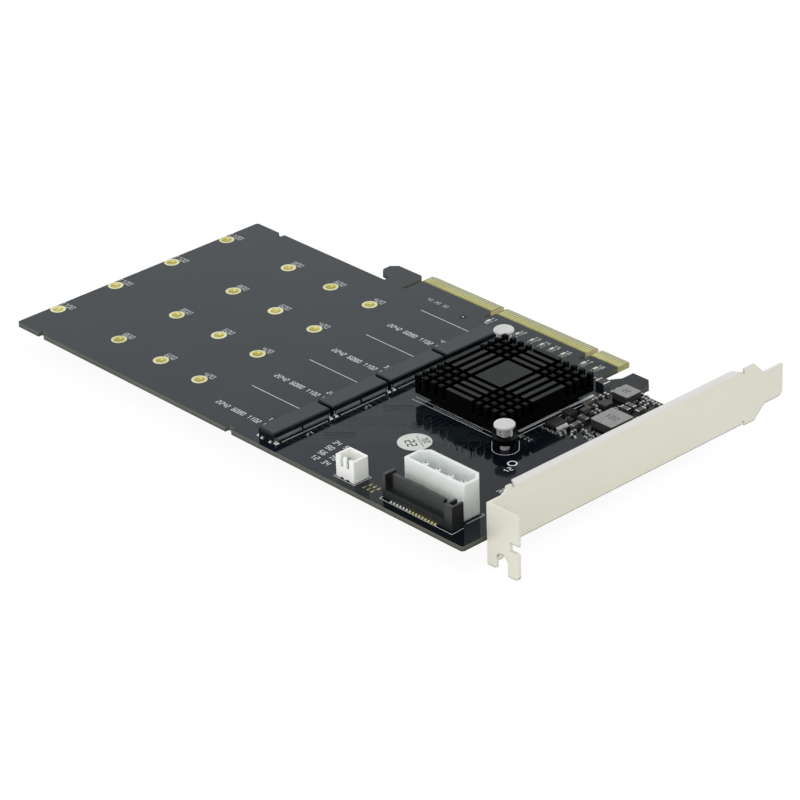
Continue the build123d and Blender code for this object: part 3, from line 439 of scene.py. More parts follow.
NODE_LOOKS = {
    "circuit_board": BOARD,
    "edge_contacts_component_side": FINGER, "edge_contacts_solder_side": FINGER,
    "module_socket_1": RESIN, "module_socket_2": RESIN,
    "module_socket_3": RESIN, "module_socket_4": RESIN,
    "module_socket_contacts": TAIL, "module_socket_anchors": TIN,
    "switch_chip": CHIP, "thermal_pad": THERMAL_PAD, "heat_sink": ANODISED,
    "push_pin_front": PIN_NYLON, "push_pin_rear": PIN_NYLON,
    "push_pin_spring_front": STEEL, "push_pin_spring_rear": STEEL,
    "power_connector_housing": NYLON, "power_connector_pins": TIN,
    "power_plug_housing": CHARCOAL, "power_plug_contacts": GOLD,
    "fan_header_housing": HEADER_NYLON, "fan_header_pins": TIN,
    "bracket": BRACKET, "bracket_screws": SCREW,
    "small_coil": FERRITE, "large_coil": FERRITE, "small_coil_feet": TIN, "large_coil_feet": TIN,
    "power_controller": CHIP, "power_controller_leads": TIN, "power_switches": CHIP,
    "large_ceramic_capacitors": CERAMIC, "small_ceramic_capacitors": CERAMIC,
    "chip_resistors": GLAZE, "moulded_capacitors": TANTALUM, "chip_end_caps": TIN,
    "status_lamps": LAMP, "round_label": LABEL,
}
for name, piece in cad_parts.items():
    piece.data.materials.clear()
    piece.data.materials.append(NODE_LOOKS[name])


# Shapes, in millimetres

def square(x, y, width, depth, z):
    """Corners of a level rectangle centred on a point."""
    turns = ((-1, -1), (1, -1), (1, 1), (-1, 1))
    return [(x + i * width / 2, y + j * depth / 2, z) for i, j in turns]


class Shape:
    """Closed shapes gathered into one mesh."""

    def __init__(self):
        self.points = []
        self.faces = []

    def band(self, first, second, count):
        """Faces between two loops of points."""
        for n in range(count):
            m = (n + 1) % count
            self.faces.append([first + n, first + m, second + m, second + n])

    def circles(self, x, y, profile, count):
        """One circle of points for each radius and height; gives the number of the first point."""
        start = len(self.points)
        for radius, z in profile:
            for n in range(count):
                turn = 2 * math.pi * n / count
                self.points.append((x + radius * math.cos(turn), y + radius * math.sin(turn), z))
        return start

    def loft(self, low, high):
        """Closed body between two outlines with as many points each."""
        start = len(self.points)
        count = len(low)
        self.points += list(low) + list(high)
        self.faces.append([start + n for n in reversed(range(count))])
        self.faces.append([start + count + n for n in range(count)])
        self.band(start, start + count, count)

    def prism(self, outline, low, high):
        self.loft([(x, y, low) for x, y in outline], [(x, y, high) for x, y in outline])

    def box(self, x0, x1, y0, y1, z0, z1):
        self.prism([(x0, y0), (x1, y0), (x1, y1), (x0, y1)], z0, z1)

    def mound(self, x, y, size, top, low, high):
        """Four-sided body that narrows upwards, as a solder joint does."""
        self.loft(square(x, y, *size, low), square(x, y, *top, high))

    def ring(self, x, y, inner, outer, low, high, count=48):
        corners = ((inner, low), (outer, low), (outer, high), (inner, high))
        start = self.circles(x, y, corners, count)
        for corner in range(4):
            self.band(start + corner * count, start + (corner + 1) % 4 * count, count)

    def turned(self, x, y, profile, count=24):
        """Body of revolution round a vertical line; profile runs from its foot to its top."""
        start = self.circles(x, y, profile, count)
        last = start + (len(profile) - 1) * count
        self.faces.append([start + n for n in reversed(range(count))])
        for low in range(start, last, count):
            self.band(low, low + count, count)
        self.faces.append([last + n for n in range(count)])

    def strip(self, path, width, low, high):
        """Flat run of one width along a path."""
        left, right = [], []
        for n, (x, y) in enumerate(path):
            before = Vector(path[max(n - 1, 0)])
            after = Vector(path[min(n + 1, len(path) - 1)])
            here = Vector((x, y))
            first = (here - before).normalized() if n else (after - here).normalized()
            second = (after - here).normalized() if n < len(path) - 1 else first
            way = (first + second).normalized()
            side = Vector((-way.y, way.x)) * (width / 2 / max(way.dot(first), 0.4))
            left.append(here + side)
            right.append(here - side)
        for n in range(len(path) - 1):
            corners = [right[n], right[n + 1], left[n + 1], left[n]]
            self.prism([tuple(c) for c in corners], low, high)

    def build(self, name, material, smooth=False):
        mesh = bpy.data.meshes.new(name)
        mesh.from_pydata([Vector(p) * MM for p in self.points], [], self.faces)
        mesh.validate()
        outward = bmesh.new()
        outward.from_mesh(mesh)
        bmesh.ops.recalc_face_normals(outward, faces=outward.faces)
        outward.to_mesh(mesh)
        outward.free()
        mesh.materials.append(material)
        if smooth:
            mesh.shade_smooth()
        piece = bpy.data.objects.new(name, mesh)
        bpy.context.scene.collection.objects.link(piece)
        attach(piece, "root")


def film(height, ground=TOP):
    """Low and high side of a thin layer on a face that looks up."""
    return ground - SUNK, ground + height


def both_films(height):
    """Low and high side of a thin layer on each face of the board."""
    return film(height), (BOTTOM - height, BOTTOM + SUNK)


INK_LAYER = film(0.022)
RUN_LAYER = film(0.014)

# Strokes of each figure in a field one wide and two high
FIGURES = {
    "0": [[(0, 0), (1, 0), (1, 2), (0, 2), (0, 0)]],
    "1": [[(0.1, 1.5), (0.6, 2), (0.6, 0)]],
    "2": [[(0, 2), (1, 2), (1, 1), (0, 1), (0, 0), (1, 0)]],
    "3": [[(0, 2), (1, 2), (1, 0), (0, 0)], [(0.2, 1), (1, 1)]],
    "4": [[(0, 2), (0, 1), (1, 1)], [(1, 2), (1, 0)]],
    "5": [[(1, 2), (0, 2), (0, 1), (1, 1), (1, 0), (0, 0)]],
    "6": [[(1, 2), (0, 2), (0, 0), (1, 0), (1, 1), (0, 1)]],
    "7": [[(0, 2), (1, 2), (0.4, 0)]],
    "8": [[(0, 0), (1, 0), (1, 2), (0, 2), (0, 0)], [(0, 1), (1, 1)]],
    "9": [[(1, 1), (0, 1), (0, 2), (1, 2), (1, 0), (0, 0)]],
}


def figures(shape, words, x, y, height, stroke, turn=0.0, gap=1.75, layer=INK_LAYER):
    """Plain numbers written in strokes, centred on a point; gap counts in widths of a figure."""
    unit = height / 2
    length = (len(words) - 1) * gap * unit + unit
    cos, sin = math.cos(turn), math.sin(turn)
    for n, mark in enumerate(words):
        for stroke_path in FIGURES.get(mark, []):
            path = []
            for u, v in stroke_path:
                along = n * gap * unit + u * unit - length / 2
                up = v * unit - height / 2
                path.append((x + along * cos - up * sin, y + along * sin + up * cos))
            shape.strip(path, stroke, *layer)


# Module screw holes: on each face a bright ring round a darker rim, and a barrel between them
RING_INNER, RING_OUTER = 1.72, 2.45
RIM_OUTER = 1.74
BARREL_INNER = HOLE_RADIUS - 0.06
rings = Shape()
barrels = Shape()
for x, y, _ in HOLES:
    for low, high in both_films(0.04):
        rings.ring(x, y, RING_INNER, RING_OUTER, low, high)
        barrels.ring(x, y, BARREL_INNER, RIM_OUTER, low, high)
    barrels.ring(x, y, BARREL_INNER, HOLE_RADIUS, BOTTOM, TOP)
rings.build("module_hole_rings", RING)
barrels.build("module_hole_barrels", BARREL, True)

# Printed marks at the screw holes and along each lane
ink = Shape()
LINE_LEFT, LINE_RIGHT = -58.2, -36.0
for x, y, length in HOLES:
    figures(ink, str(length * 10), x + 0.4, y + 3.6, 1.9, 0.14, gap=1.6)
for number, y in enumerate(LANES, start=1):
    corner = (LINE_RIGHT, y + 8.4)
    ink.strip([(LINE_LEFT, corner[1]), corner], 0.2, *INK_LAYER)
    ink.strip([corner, (LINE_RIGHT, y + 2.0)], 0.12, *INK_LAYER)
    figures(ink, "2242 6080 1102 42", -46.4, y - 5.2, 1.7, 0.2, gap=1.62)
    figures(ink, str(number * 11), -37.4, y - 1.8, 1.5, 0.18)

# Printed frame of the sink, with a collar round the front push pin and a row of ticks
pin_x, pin_y = PIN_PLACES["front"]
for y in (SINK_FRONT - 0.2, SINK_FRONT + 1.5):
    ink.strip([(SINK_LEFT - 1.2, y), (pin_x - 4.3, y)], 0.16, *INK_LAYER)
ink.strip([(SINK_RIGHT + 0.4, -23.0), (SINK_RIGHT + 0.4, pin_y + 4.6)], 0.22, *INK_LAYER)
ink.box(SINK_RIGHT - 2.0, SINK_RIGHT - 0.9, -54.0, -22.9, *INK_LAYER)
collar_x, collar_y, radius, leg = 23.9, -63.75, 3.94, 3.2
arc = []
for degrees in range(-135, 46, 12):
    angle = math.radians(degrees)
    arc.append((collar_x + radius * math.cos(angle), collar_y + radius * math.sin(angle)))
arc = [(arc[0][0] - leg, arc[0][1] + leg)] + arc + [(arc[-1][0] - leg, arc[-1][1] + leg)]
ink.strip(arc, 0.15, *INK_LAYER)
for n in range(26):
    tick = -9 + n * 0.8
    ink.box(tick, tick + 0.18, SINK_FRONT + 0.35, SINK_FRONT + 0.95, *INK_LAYER)

# Printed lines round the power plug, the power socket and the fan header: path and width
CONNECTOR_LINES = [
    ([(19.1, -102.3), (19.1, -108.4), (48.4, -108.4), (48.1, -103.7)], 0.15),
    ([(45.9, -94.6), (47.0, -94.6), (47.0, -101.4)], 0.15),
    ([(0.2, -108.6), (8.7, -108.6), (8.7, -101.9), (0.2, -101.9), (0.2, -108.6)], 0.14),
]
for line, width in CONNECTOR_LINES:
    ink.strip(line, width, *INK_LAYER)
ink.ring(31.6, -68.6, 1.1, 1.5, *INK_LAYER)
# White bar on the dark dot at the rear left of the board: a painted highlight, built in ink
ink.strip([(-45.7, -13.9), (-45.0, -13.9)], 0.4, *film(0.052))

# Loose printed numbers: words, x, y, height, stroke, turn and gap
LOOSE_NUMBERS = [
    ("7", 10.6, -98.6, 1.6, 0.22, 0.0, 1.75),
    ("12", 33.4, -72.0, 1.8, 0.24, math.pi / 2, 1.7),
    ("34 56", 40.9, -79.7, 1.9, 0.24, math.pi / 2, 1.6),
    ("10 20 30", -58.0, -12.6, 1.3, 0.1, 0.0, 1.75),
    ("1 2 3 4", 33.6, -91.3, 1.2, 0.15, 0.0, 4.0),
]
for numbers in LOOSE_NUMBERS:
    figures(ink, *numbers)
for row, words in enumerate(("12 34", "56 78", "90 12", "34 56")):
    figures(ink, words, -9.2 - row * 0.6, -105.2 + row * 3.4, 1.8, 0.21, gap=1.7)
for n, (x, y, _) in enumerate(LAMPS):
    figures(ink, str(n + 11), x, y + 2.3, 1.5, 0.15)
    outline = [(x - 0.8, y + 1.0), (x - 0.8, y - 1.1), (x + 0.8, y - 1.1), (x + 0.8, y + 1.0)]
    ink.strip(outline, 0.12, *INK_LAYER)
ink.build("printed_marks", INK)

# Plain numbers and a slanted line on the round label: text, shift, height and stroke
print_marks = Shape()
LABEL_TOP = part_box("round_label")[1].z / MM
LABEL_LAYER = film(0.012, LABEL_TOP)
LABEL_NUMBERS = [("22", -2.8, 2.6, 0.42), ("1234", 1.1, 0.9, 0.17), ("5678", 2.3, 0.9, 0.17)]
slant, span = -0.45, 3.5
across = Vector((math.cos(slant), math.sin(slant)))
upward = Vector((-across.y, across.x))
middle = Vector((3.4, -78.0))
for text, shift, height, stroke in LABEL_NUMBERS:
    at = middle + upward * shift
    figures(print_marks, text, at.x, at.y, height, stroke, slant, layer=LABEL_LAYER)
ends = [tuple(middle - across * span), tuple(middle + across * span)]
print_marks.strip(ends, 0.2, *LABEL_LAYER)
print_marks.build("label_marks", CHIP)

# Copper runs that show through the mask, in pairs from the sockets to the chip
LANE_PAIRS = 8
runs = Shape()


def pair(path, width=0.16, space=0.42):
    """Two runs side by side."""
    for side in (-1, 1):
        moved = []
        for n, (x, y) in enumerate(path):
            a = path[max(n - 1, 0)]
            b = path[min(n + 1, len(path) - 1)]
            way = Vector((b[0] - a[0], b[1] - a[1])).normalized()
            moved.append((x - way.y * side * space / 2, y + way.x * side * space / 2))
        runs.strip(moved, width, *RUN_LAYER)


for lane, y in enumerate(LANES):
    for n in range(LANE_PAIRS):
        start_y = y - 8.2 + n * 2.3
        end_y = SINK_CENTRE[1] + (lane - 1.5) * 7.6 + (n - 3.5) * 0.86
        rise = end_y - start_y
        bend = SOCKET_RIGHT + 2.0 + (n if rise > 0 else LANE_PAIRS - 1 - n) * 0.62
        end_x = bend + abs(rise)
        last_x = (SINK_LEFT if end_x < SINK_LEFT else end_x) + 1.0
        pair([(SOCKET_RIGHT + 0.9, start_y), (bend, start_y), (end_x, end_y), (last_x, end_y)])

# The same from the edge contacts to the chip
TIPS_Y, BEND_Y, CHIP_Y = -6.0, -12.6, -24.5
TIP_XS = [-37.0 + n * 2.0 for n in range(12)] + [2.0 + n * 2.6 for n in range(4)]
for n, tip_x in enumerate(TIP_XS):
    end_x = SINK_CENTRE[0] + (n - 7.5) * 1.9
    fall = abs(end_x - tip_x) * 0.62
    path = [(tip_x, TIPS_Y), (tip_x, BEND_Y), (end_x, BEND_Y - fall), (end_x, CHIP_Y)]
    pair(path, 0.14, 0.38)

# Single runs in front of the sink and beside it
for n in range(16):
    x = -9.0 + n * 1.9
    end_y = SINK_FRONT - 3.5 - 8.5 * abs(math.sin(n * 1.7))
    runs.strip([(x, SINK_FRONT + 0.2), (x, end_y), (x + 2.0, end_y - 2.0)], 0.22, *RUN_LAYER)
for n in range(11):
    y = -59.0 + n * 2.9
    step = SINK_RIGHT + n % 3
    runs.strip([(SINK_RIGHT + 0.6, y), (step + 2.5, y), (step + 5, y - 2.5)], 0.25, *RUN_LAYER)
runs.build("masked_runs", COPPER)

# Dark gaps between copper areas: leaning streaks in front of the sink, steeper to the right
gaps = Shape()
for n in range(24):
    x = -6.5 + n * 1.15
    slanted = 1.6 + 2.0 * abs(math.sin(n * 2.3))
    start = SINK_FRONT - 8.8 + 1.3 * math.sin(n * 1.1)
    drop, width = (0.45, 0.26) if n < 14 else (1.0, 0.36)
    gaps.strip([(x, start), (x + slanted, start - slanted * drop)], width, *RUN_LAYER)

# Level streaks left of them, slanted ones beside the sink, and thin lines behind the sockets
for n in range(9):
    start = SINK_LEFT + 8.0 + (n % 4) * 1.2
    y = SINK_FRONT - 6.6 - n * 0.75
    gaps.strip([(start, y), (start + 3.2 + (n % 3), y)], 0.26, *RUN_LAYER)
for n in range(18):
    y = -59.0 + n * 1.3
    start = SINK_RIGHT + 2.0 + 1.4 * abs(math.sin(n * 1.9))
    gaps.strip([(start, y), (start + 3.0, y - 3.0)], 0.36, *RUN_LAYER)
for y in LANES:
    for n in range(5):
        shift = n * 0.62
        line = [(-20.6 + shift, y + 3.6 - shift), (-14.2 + shift, y + 10.0 - shift)]
        gaps.strip(line, 0.15, *RUN_LAYER)
gaps.ring(-45.35, -13.9, 0.3, 1.15, *film(0.034))
gaps.build("mask_gaps", GAP)

# Vias, covered by the mask: a few in a grid, the rest scattered over four areas
VIA_INNER, VIA_OUTER = 0.12, 0.3
GRID_X = (-57.0, -63.0, -78.0, -98.0, -120.0)
GRID_Y = (-108.0, -85.4, -62.4, -39.4, -17.0)
vias = Shape()
via_places = [(x, y) for x in GRID_X for y in GRID_Y]
via_places += [(SINK_LEFT - 1.5 - dice.uniform(0, 5), dice.uniform(-100, -20)) for _ in range(70)]
via_places += [(dice.uniform(-22, 20), dice.uniform(-99, -64)) for _ in range(60)]
via_places += [(dice.uniform(-70, 20), dice.uniform(-15.5, -13.2)) for _ in range(40)]
via_places += [(dice.uniform(-70, 12), -6.4) for _ in range(24)]
for x, y in via_places:
    for low, high in both_films(0.02):
        vias.ring(x, y, VIA_INNER, VIA_OUTER, low, high, 12)
vias.build("tented_vias", COPPER)

# Bare pads beside the fan header, built below with the gilded joints of the power plug
pads = Shape()
for i, j in product(range(3), range(2)):
    wide = 0.75 + 0.6 * dice.random()
    x, y = 11.4 + i * 1.7 + 0.3 * j, -107.4 + j * 2.1
    pads.turned(x, y, [(wide / 2, TOP - SUNK), (wide / 2, TOP + 0.02), (wide / 3, TOP + 0.06)], 14)
    pads.box(x - 0.15, x + 0.15, y, y + 1.2, *film(0.03))

# Contact springs inside the module sockets, an upper and a lower row, with none at the key
SPRING_HALF = 0.11
SPRING_END = SOCKET_LEFT + 4.4
springs = Shape()
for y, shift in product(LANES, SOCKET_ROW):
    if abs(shift - SOCKET_KEY) < KEY_HALF:
        continue
    sides = (y + shift - SPRING_HALF, y + shift + SPRING_HALF)
    springs.box(SOCKET_LEFT + 0.6, SPRING_END, *sides, TOP + 1.0, TOP + 1.14)
    springs.box(SOCKET_LEFT + 0.9, SPRING_END, *sides, TOP + 1.96, TOP + 2.1)
springs.build("module_socket_springs", GOLD)

# Ledges over the tails at each socket's rear, in a grey lighter than the black socket as a painted
# reflection, and bright tabs at the sockets' ends
LEDGE = [(-0.05, 0.45), (0.4, 0.45), (0.4, 0.85), (-0.05, 1.5)]
ledges = Shape()
tabs = Shape()
for y, side in product(LANES, (-1, 1)):
    ends = sorted((side * 0.4, side * 9.9))
    ledges.loft(*([(SOCKET_RIGHT + u, y + end, TOP + v) for u, v in LEDGE] for end in ends))
    inner, outer = sorted((side * 10.25, side * 10.7))
    tabs.box(SOCKET_RIGHT - 0.05, SOCKET_RIGHT + 0.14, y + inner, y + outer, TOP, TOP + 1.5)
    tabs.mound(SOCKET_RIGHT + 0.4, y + side * ANCHOR, (0.8, 0.8), (0.3, 0.4), TOP, TOP + 0.6)
for y, side in ((LANES[0] - 10.95, -1), (LANES[-1] + 10.95, 1)):
    for x in (-31.2, -27.6):
        tabs.box(x - 0.4, x + 0.4, *sorted((y - side * 0.05, y + side * 0.12)), TOP, TOP + 0.6)
        tabs.mound(x, y + side * 0.3, (1.0, 0.6), (0.4, 0.2), TOP, TOP + 0.3)
ledges.build("module_socket_ledges", LEDGE_SHEEN_RESIN)
tabs.build("module_socket_end_tabs", TIN)

# Bevelled tips of the sink's corner pins, four by four in each corner beside the bars
pin_tips = Shape()
SINK_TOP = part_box("heat_sink")[1].z / MM
BARS = (10.6, 13.4)
pitch_x, pitch_y = ((2 * SINK_HALF - width) / 8 for width in BARS)
for i, j, side_x, side_y in product(range(4), range(4), (-1, 1), (-1, 1)):
    x = SINK_CENTRE[0] + side_x * (SINK_HALF - (3.25 - i) * pitch_x)
    y = SINK_CENTRE[1] + side_y * (SINK_HALF - (3.25 - j) * pitch_y)
    foot = (0.47 * pitch_x, 0.47 * pitch_y)
    pin_tips.mound(x, y, foot, (0.4, 0.36), SINK_TOP - 0.02, SINK_TOP + 0.3)
pin_tips.build("heat_sink_pin_tips", ANODISED)

# Risers of the controller's leads
RISER = [(1.95, 1.5), (2.15, 1.55), (2.75, 1.05), (3.0, 0.95), (2.5, 0.9), (1.95, 1.35)]
RISER_HALF = 0.15
leads = Shape()
for y, side in product(CONTROLLER_ROW, (-1, 1)):
    ends = (y - RISER_HALF, y + RISER_HALF)
    leads.loft(*([(CONTROLLER_X + side * u, end, v) for u, v in RISER] for end in ends))
leads.build("controller_lead_risers", TIN)

# Solder at the sockets' tails and anchors
solder = Shape()
for y in LANES:
    for shift in SOCKET_ROW:
        for x in (SOCKET_RIGHT + 0.75, SOCKET_LEFT - 0.75):
            solder.mound(x, y + shift, (0.9, 0.28), (0.4, 0.14), TOP, TOP + 0.17)
    for end in (y - ANCHOR, y + ANCHOR):
        solder.mound(SOCKET_RIGHT + 0.5, end, (1.5, 1.4), (0.8, 0.9), TOP, TOP + 0.35)
        solder.mound(SOCKET_LEFT - 0.4, end, (1.2, 1.4), (0.6, 0.9), TOP, TOP + 0.35)

# Chips of the solids that get caps and joints here: x, y, and 1 where the chip lies along Y
SMALL = [
    (22.3, -20.6, 0), (22.3, -22.6, 0), (22.0, -25.4, 1), (25.0, -28.2, 0), (27.6, -29.6, 0),
    (27.6, -31.4, 0), (32.2, -14.8, 0), (34.8, -14.8, 0), (37.4, -14.8, 0), (33.4, -17.2, 1),
    (35.4, -17.4, 1), (28.9, -45.4, 0), (28.9, -47.2, 0), (31.4, -43.6, 1), (33.4, -41.2, 0),
]
FLAT = [
    (39.6, -17.6, 1), (41.4, -17.6, 1), (39.2, -24.6, 0), (39.2, -26.2, 0), (31.0, -26.6, 0),
    (36.2, -39.6, 0), (38.6, -39.6, 0), (33.0, -45.4, 0), (43.6, -46.2, 1), (45.2, -46.2, 1),
    (43.6, -49.0, 1), (45.2, -49.0, 1),
] + [(-23.1, y, 1) for y in LANES]

# The smallest capacitors and resistors, which the solids leave out
TINY = [
    (30.2, -23.4, 0), (30.2, -24.6, 0), (23.9, -38.6, 1), (25.2, -38.6, 1), (29.8, -38.7, 0),
    (22.4, -47.6, 0), (24.4, -47.6, 0), (26.4, -47.6, 0), (31.6, -21.2, 1), (31.6, -19.0, 1),
    (29.6, -12.9, 0), (31.4, -12.9, 0), (39.6, -14.8, 0), (41.2, -14.8, 0), (42.9, -19.4, 1),
    (42.9, -22.0, 1), (42.9, -24.6, 1), (21.9, -17.8, 1), (21.9, -15.6, 1), (35.2, -41.6, 0),
    (37.0, -41.6, 0), (36.0, -43.4, 0), (38.0, -43.4, 1), (40.2, -43.4, 1), (-30.2, -14.8, 1),
    (-12.4, -14.6, 1), (-7.6, -14.6, 1), (0.4, -14.8, 1), (12.4, -15.6, 1), (13.8, -15.6, 1),
    (22.2, -55.4, 1), (24.0, -55.4, 1), (25.6, -55.4, 1),
]
TINY_LENGTH, TINY_DEPTH, TINY_HEIGHT = TINY_SIZE = (1.0, 0.5, 0.45)

# How far an end cap stands proud of its body
PROUD = 0.015
caps = Shape()


def chip_ends(places, size, cap, joint):
    """Caps and solder joints at both ends of chips of one size."""
    length, depth, height = size
    cap_half, cap_side, cap_top = cap / 2 + PROUD, depth / 2 + PROUD, TOP + height + PROUD
    joint_width, crown_width, joint_top = depth + 0.1, depth * 0.7, TOP + height * 0.6
    for x, y, turned in places:
        for side in (-1, 1):
            middle = side * (length / 2 - cap / 2)
            outside = side * (length / 2 + joint / 2)
            if turned:
                at = y + middle
                caps.box(x - cap_side, x + cap_side, at - cap_half, at + cap_half, TOP, cap_top)
                foot, crown = (joint_width, joint), (crown_width, 0.05)
                solder.mound(x, y + outside, foot, crown, TOP, joint_top)
            else:
                at = x + middle
                caps.box(at - cap_half, at + cap_half, y - cap_side, y + cap_side, TOP, cap_top)
                foot, crown = (joint, joint_width), (0.05, crown_width)
                solder.mound(x + outside, y, foot, crown, TOP, joint_top)


chip_ends(SMALL, (1.6, 0.8, 0.8), cap=0.3, joint=0.4)
chip_ends(FLAT, (1.6, 0.8, 0.45), cap=0.3, joint=0.4)
chip_ends(LAMPS, (1.6, 0.8, 0.6), cap=0.3, joint=0.35)
chip_ends(TINY, TINY_SIZE, cap=0.22, joint=0.3)

tiny = Shape()
for x, y, turned in TINY:
    wide, deep = (TINY_DEPTH, TINY_LENGTH) if turned else (TINY_LENGTH, TINY_DEPTH)
    tiny.box(x - wide / 2, x + wide / 2, y - deep / 2, y + deep / 2, TOP, TOP + TINY_HEIGHT)
tiny.build("smallest_chips", CERAMIC)
caps.build("small_chip_caps", TIN)

# Cones of solder round the through pins on the solder side: radius and depth
POWER_CONE = [(0.3, 1.5), (0.95, 0.9), (1.25, 0.35), (1.6, 0.0)]
FAN_CONE = [(0.15, 1.4), (0.5, 0.9), (0.7, 0.3), (1.0, 0.0)]
for pins, cone in ((POWER_PINS, POWER_CONE), (FAN_PINS, FAN_CONE)):
    for x, y in pins:
        solder.turned(x, y, [(radius, BOTTOM - depth) for radius, depth in cone])

# Joints of the power plug's tails, the first pale and the others gilded, and of the controller
for n, (x, y) in enumerate(PLUG_TAILS):
    joints = solder if n < PALE_TAILS else pads
    joints.mound(x, y, (0.95, 1.5), (0.55, 0.8), TOP, TOP + 0.5)
for y, side in product(CONTROLLER_ROW, (-1, 1)):
    solder.mound(CONTROLLER_X + side * 3.15, y, (0.6, 0.4), (0.2, 0.25), TOP, TOP + 0.25)
solder.build("solder_joints", SOLDER)
pads.build("bare_pads", PAD_PLATE)

# Dark discs at the mouths of the hollow power pins, painted shade inside them, and the seam down
# each pin
mouth_shade_and_seams = Shape()
PIN_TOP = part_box("power_connector_pins")[1].z / MM
MOUTH_RADIUS = 0.36
for x, y in POWER_PINS:
    mouth_shade_and_seams.turned(x, y, [(MOUTH_RADIUS, z) for z in film(0.015, PIN_TOP)], 20)
    mouth_shade_and_seams.box(x - 0.12, x + 0.12, y - 1.08, y - 1.03, PIN_TOP - 4.5, PIN_TOP)
mouth_shade_and_seams.build("power_pin_mouths", CHIP)

# Numbers on the coils
coil_marks = Shape()
for node, words, height in (("large_coil", "100", 1.9), ("small_coil", "22", 1.5)):
    low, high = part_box(node)
    centre = (low + high) / 2 / MM
    top = high.z / MM
    figures(coil_marks, words, centre.x, centre.y, height, 0.2, layer=film(0.015, top))
coil_marks.build("coil_marks", CHIP)

# Push-pin springs as round wire
WIRE_RADIUS = 0.25
WINDING_RADIUS = 2.1
WINDINGS = 4
STEPS = WINDINGS * 28
for label, (x, y) in PIN_PLACES.items():
    low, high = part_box("push_pin_spring_" + label)
    wire = bpy.data.curves.new("spring_wire_" + label, "CURVE")
    wire.dimensions = "3D"
    wire.bevel_depth = WIRE_RADIUS * MM
    wire.bevel_resolution = 3
    wire.use_fill_caps = True
    run = wire.splines.new("POLY")
    run.points.add(STEPS)
    bottom = low.z / MM + WIRE_RADIUS
    rise = (high.z - low.z) / MM - 2 * WIRE_RADIUS
    for n in range(STEPS + 1):
        turn = 2 * math.pi * WINDINGS * n / STEPS
        here = Vector((
            x + WINDING_RADIUS * math.cos(turn), y + WINDING_RADIUS * math.sin(turn),
            bottom + rise * n / STEPS,
        ))
        run.points[n].co = (*(here * MM), 1)
    wire.materials.append(STEEL)
    spring = bpy.data.objects.new("spring_wire_" + label, wire)
    bpy.context.scene.collection.objects.link(spring)
    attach(spring, "root")
    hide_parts("push_pin_spring_" + label)


# Floor, world, lamps and camera, in metres

def seen_rays(tree):
    """1 for rays of the camera, of mirrors and through clear things, 0 for light on the card."""
    path = tree.nodes.new("ShaderNodeLightPath")
    seen = path.outputs["Is Camera Ray"]
    for kind in ("Is Glossy Ray", "Is Transmission Ray"):
        either = tree.nodes.new("ShaderNodeMath")
        either.operation = "MAXIMUM"
        tree.links.new(seen, either.inputs[0])
        tree.links.new(path.outputs[kind], either.inputs[1])
        seen = either.outputs[0]
    return seen


def stage_look():
    """White sweep that keeps the card's shadow."""
    look = Look("pale_floor", 0.9)
    look.tree.nodes.remove(look.shader)
    plain, soft = look.add("ShaderNodeBsdfDiffuse"), look.add("ShaderNodeBsdfDiffuse")
    plain.inputs["Color"].default_value = grey(0.8)
    soft.inputs["Color"].default_value = grey(0.09)
    glow = look.add("ShaderNodeEmission")
    glow.inputs["Strength"].default_value = 0.93
    both = look.add("ShaderNodeAddShader")
    look.put(both.inputs[0], soft.outputs[0])
    look.put(both.inputs[1], glow.outputs[0])
    chosen = look.add("ShaderNodeMixShader")
    look.put(chosen.inputs[0], seen_rays(look.tree))
    look.put(chosen.inputs[1], plain.outputs[0])
    look.put(chosen.inputs[2], both.outputs[0])
    look.put(look.tree.nodes["Material Output"].inputs["Surface"], chosen.outputs[0])
    return look.material


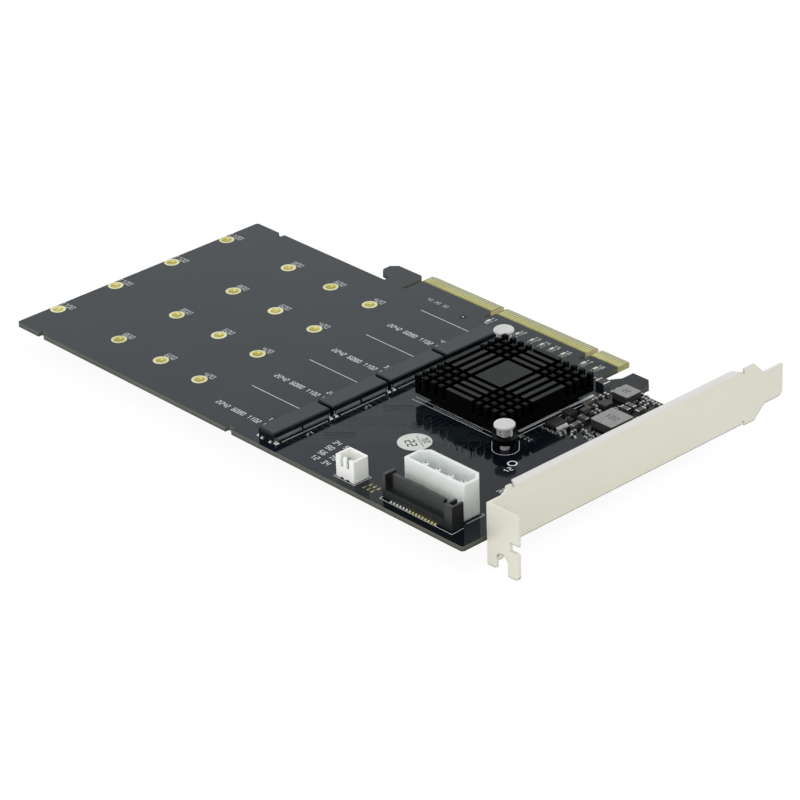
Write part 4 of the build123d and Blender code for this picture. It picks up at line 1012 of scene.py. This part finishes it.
FLOOR_GAP = 0.00005
FLOOR_CORNERS = ((-4, -4), (4, -4), (4, 4), (-4, 4))
ground = cad_box[0].z - FLOOR_GAP
mesh = bpy.data.meshes.new("floor")
mesh.from_pydata([(x, y, ground) for x, y in FLOOR_CORNERS], [], [(0, 1, 2, 3)])
mesh.materials.append(stage_look())
floor = bpy.data.objects.new("floor", mesh)
bpy.context.scene.collection.objects.link(floor)

FILL_LIGHT, BACKGROUND = 0.9, 1.0
world = bpy.data.worlds.new("studio")
bpy.context.scene.world = world
world.use_nodes = True
nodes, links = world.node_tree.nodes, world.node_tree.links
strength = nodes.new("ShaderNodeMapRange")
links.new(seen_rays(world.node_tree), strength.inputs["Value"])
strength.inputs["To Min"].default_value = FILL_LIGHT
strength.inputs["To Max"].default_value = BACKGROUND
links.new(strength.outputs[0], nodes["Background"].inputs["Strength"])
nodes["Background"].inputs["Color"].default_value = grey(1)


def lamp(name, place, target, size, power):
    """Soft rectangular lamp that faces a point."""
    light = bpy.data.lights.new(name, "AREA")
    light.size = size
    light.energy = power
    holder = bpy.data.objects.new(name, light)
    holder.location = place
    holder.rotation_euler = (Vector(target) - Vector(place)).to_track_quat("-Z", "Y").to_euler()
    bpy.context.scene.collection.objects.link(holder)


CENTRE = (-0.04, -0.05, 0.0)
lamp("key_lamp", (0.35, -1.2, 0.5), CENTRE, 0.7, 3.4)
lamp("back_lamp", (-0.3, 1.0, 0.9), CENTRE, 0.8, 0.6)

TARGET = Vector((-0.019583, -0.064466, 0.000785))
DISTANCE = 1.055534
AZIMUTH, ELEVATION, ROLL = (math.radians(angle) for angle in (47.8508, 27.9239, -1.8958))
back = Vector((
    math.sin(AZIMUTH) * math.cos(ELEVATION), -math.cos(AZIMUTH) * math.cos(ELEVATION),
    math.sin(ELEVATION),
))
right = (-back).cross(Vector((0, 0, 1))).normalized()
up = back.cross(right)
turned_right = right * math.cos(ROLL) + up * math.sin(ROLL)
turned_up = up * math.cos(ROLL) - right * math.sin(ROLL)
lens = bpy.data.cameras.new("camera")
lens.sensor_width = 36
lens.lens = 161.61
camera = bpy.data.objects.new("camera", lens)
turn = Matrix((turned_right, turned_up, back)).transposed().to_4x4()
camera.matrix_world = Matrix.Translation(TARGET + back * DISTANCE) @ turn
bpy.context.scene.collection.objects.link(camera)
bpy.context.scene.camera = camera
bpy.context.scene.view_settings.view_transform = "Standard"
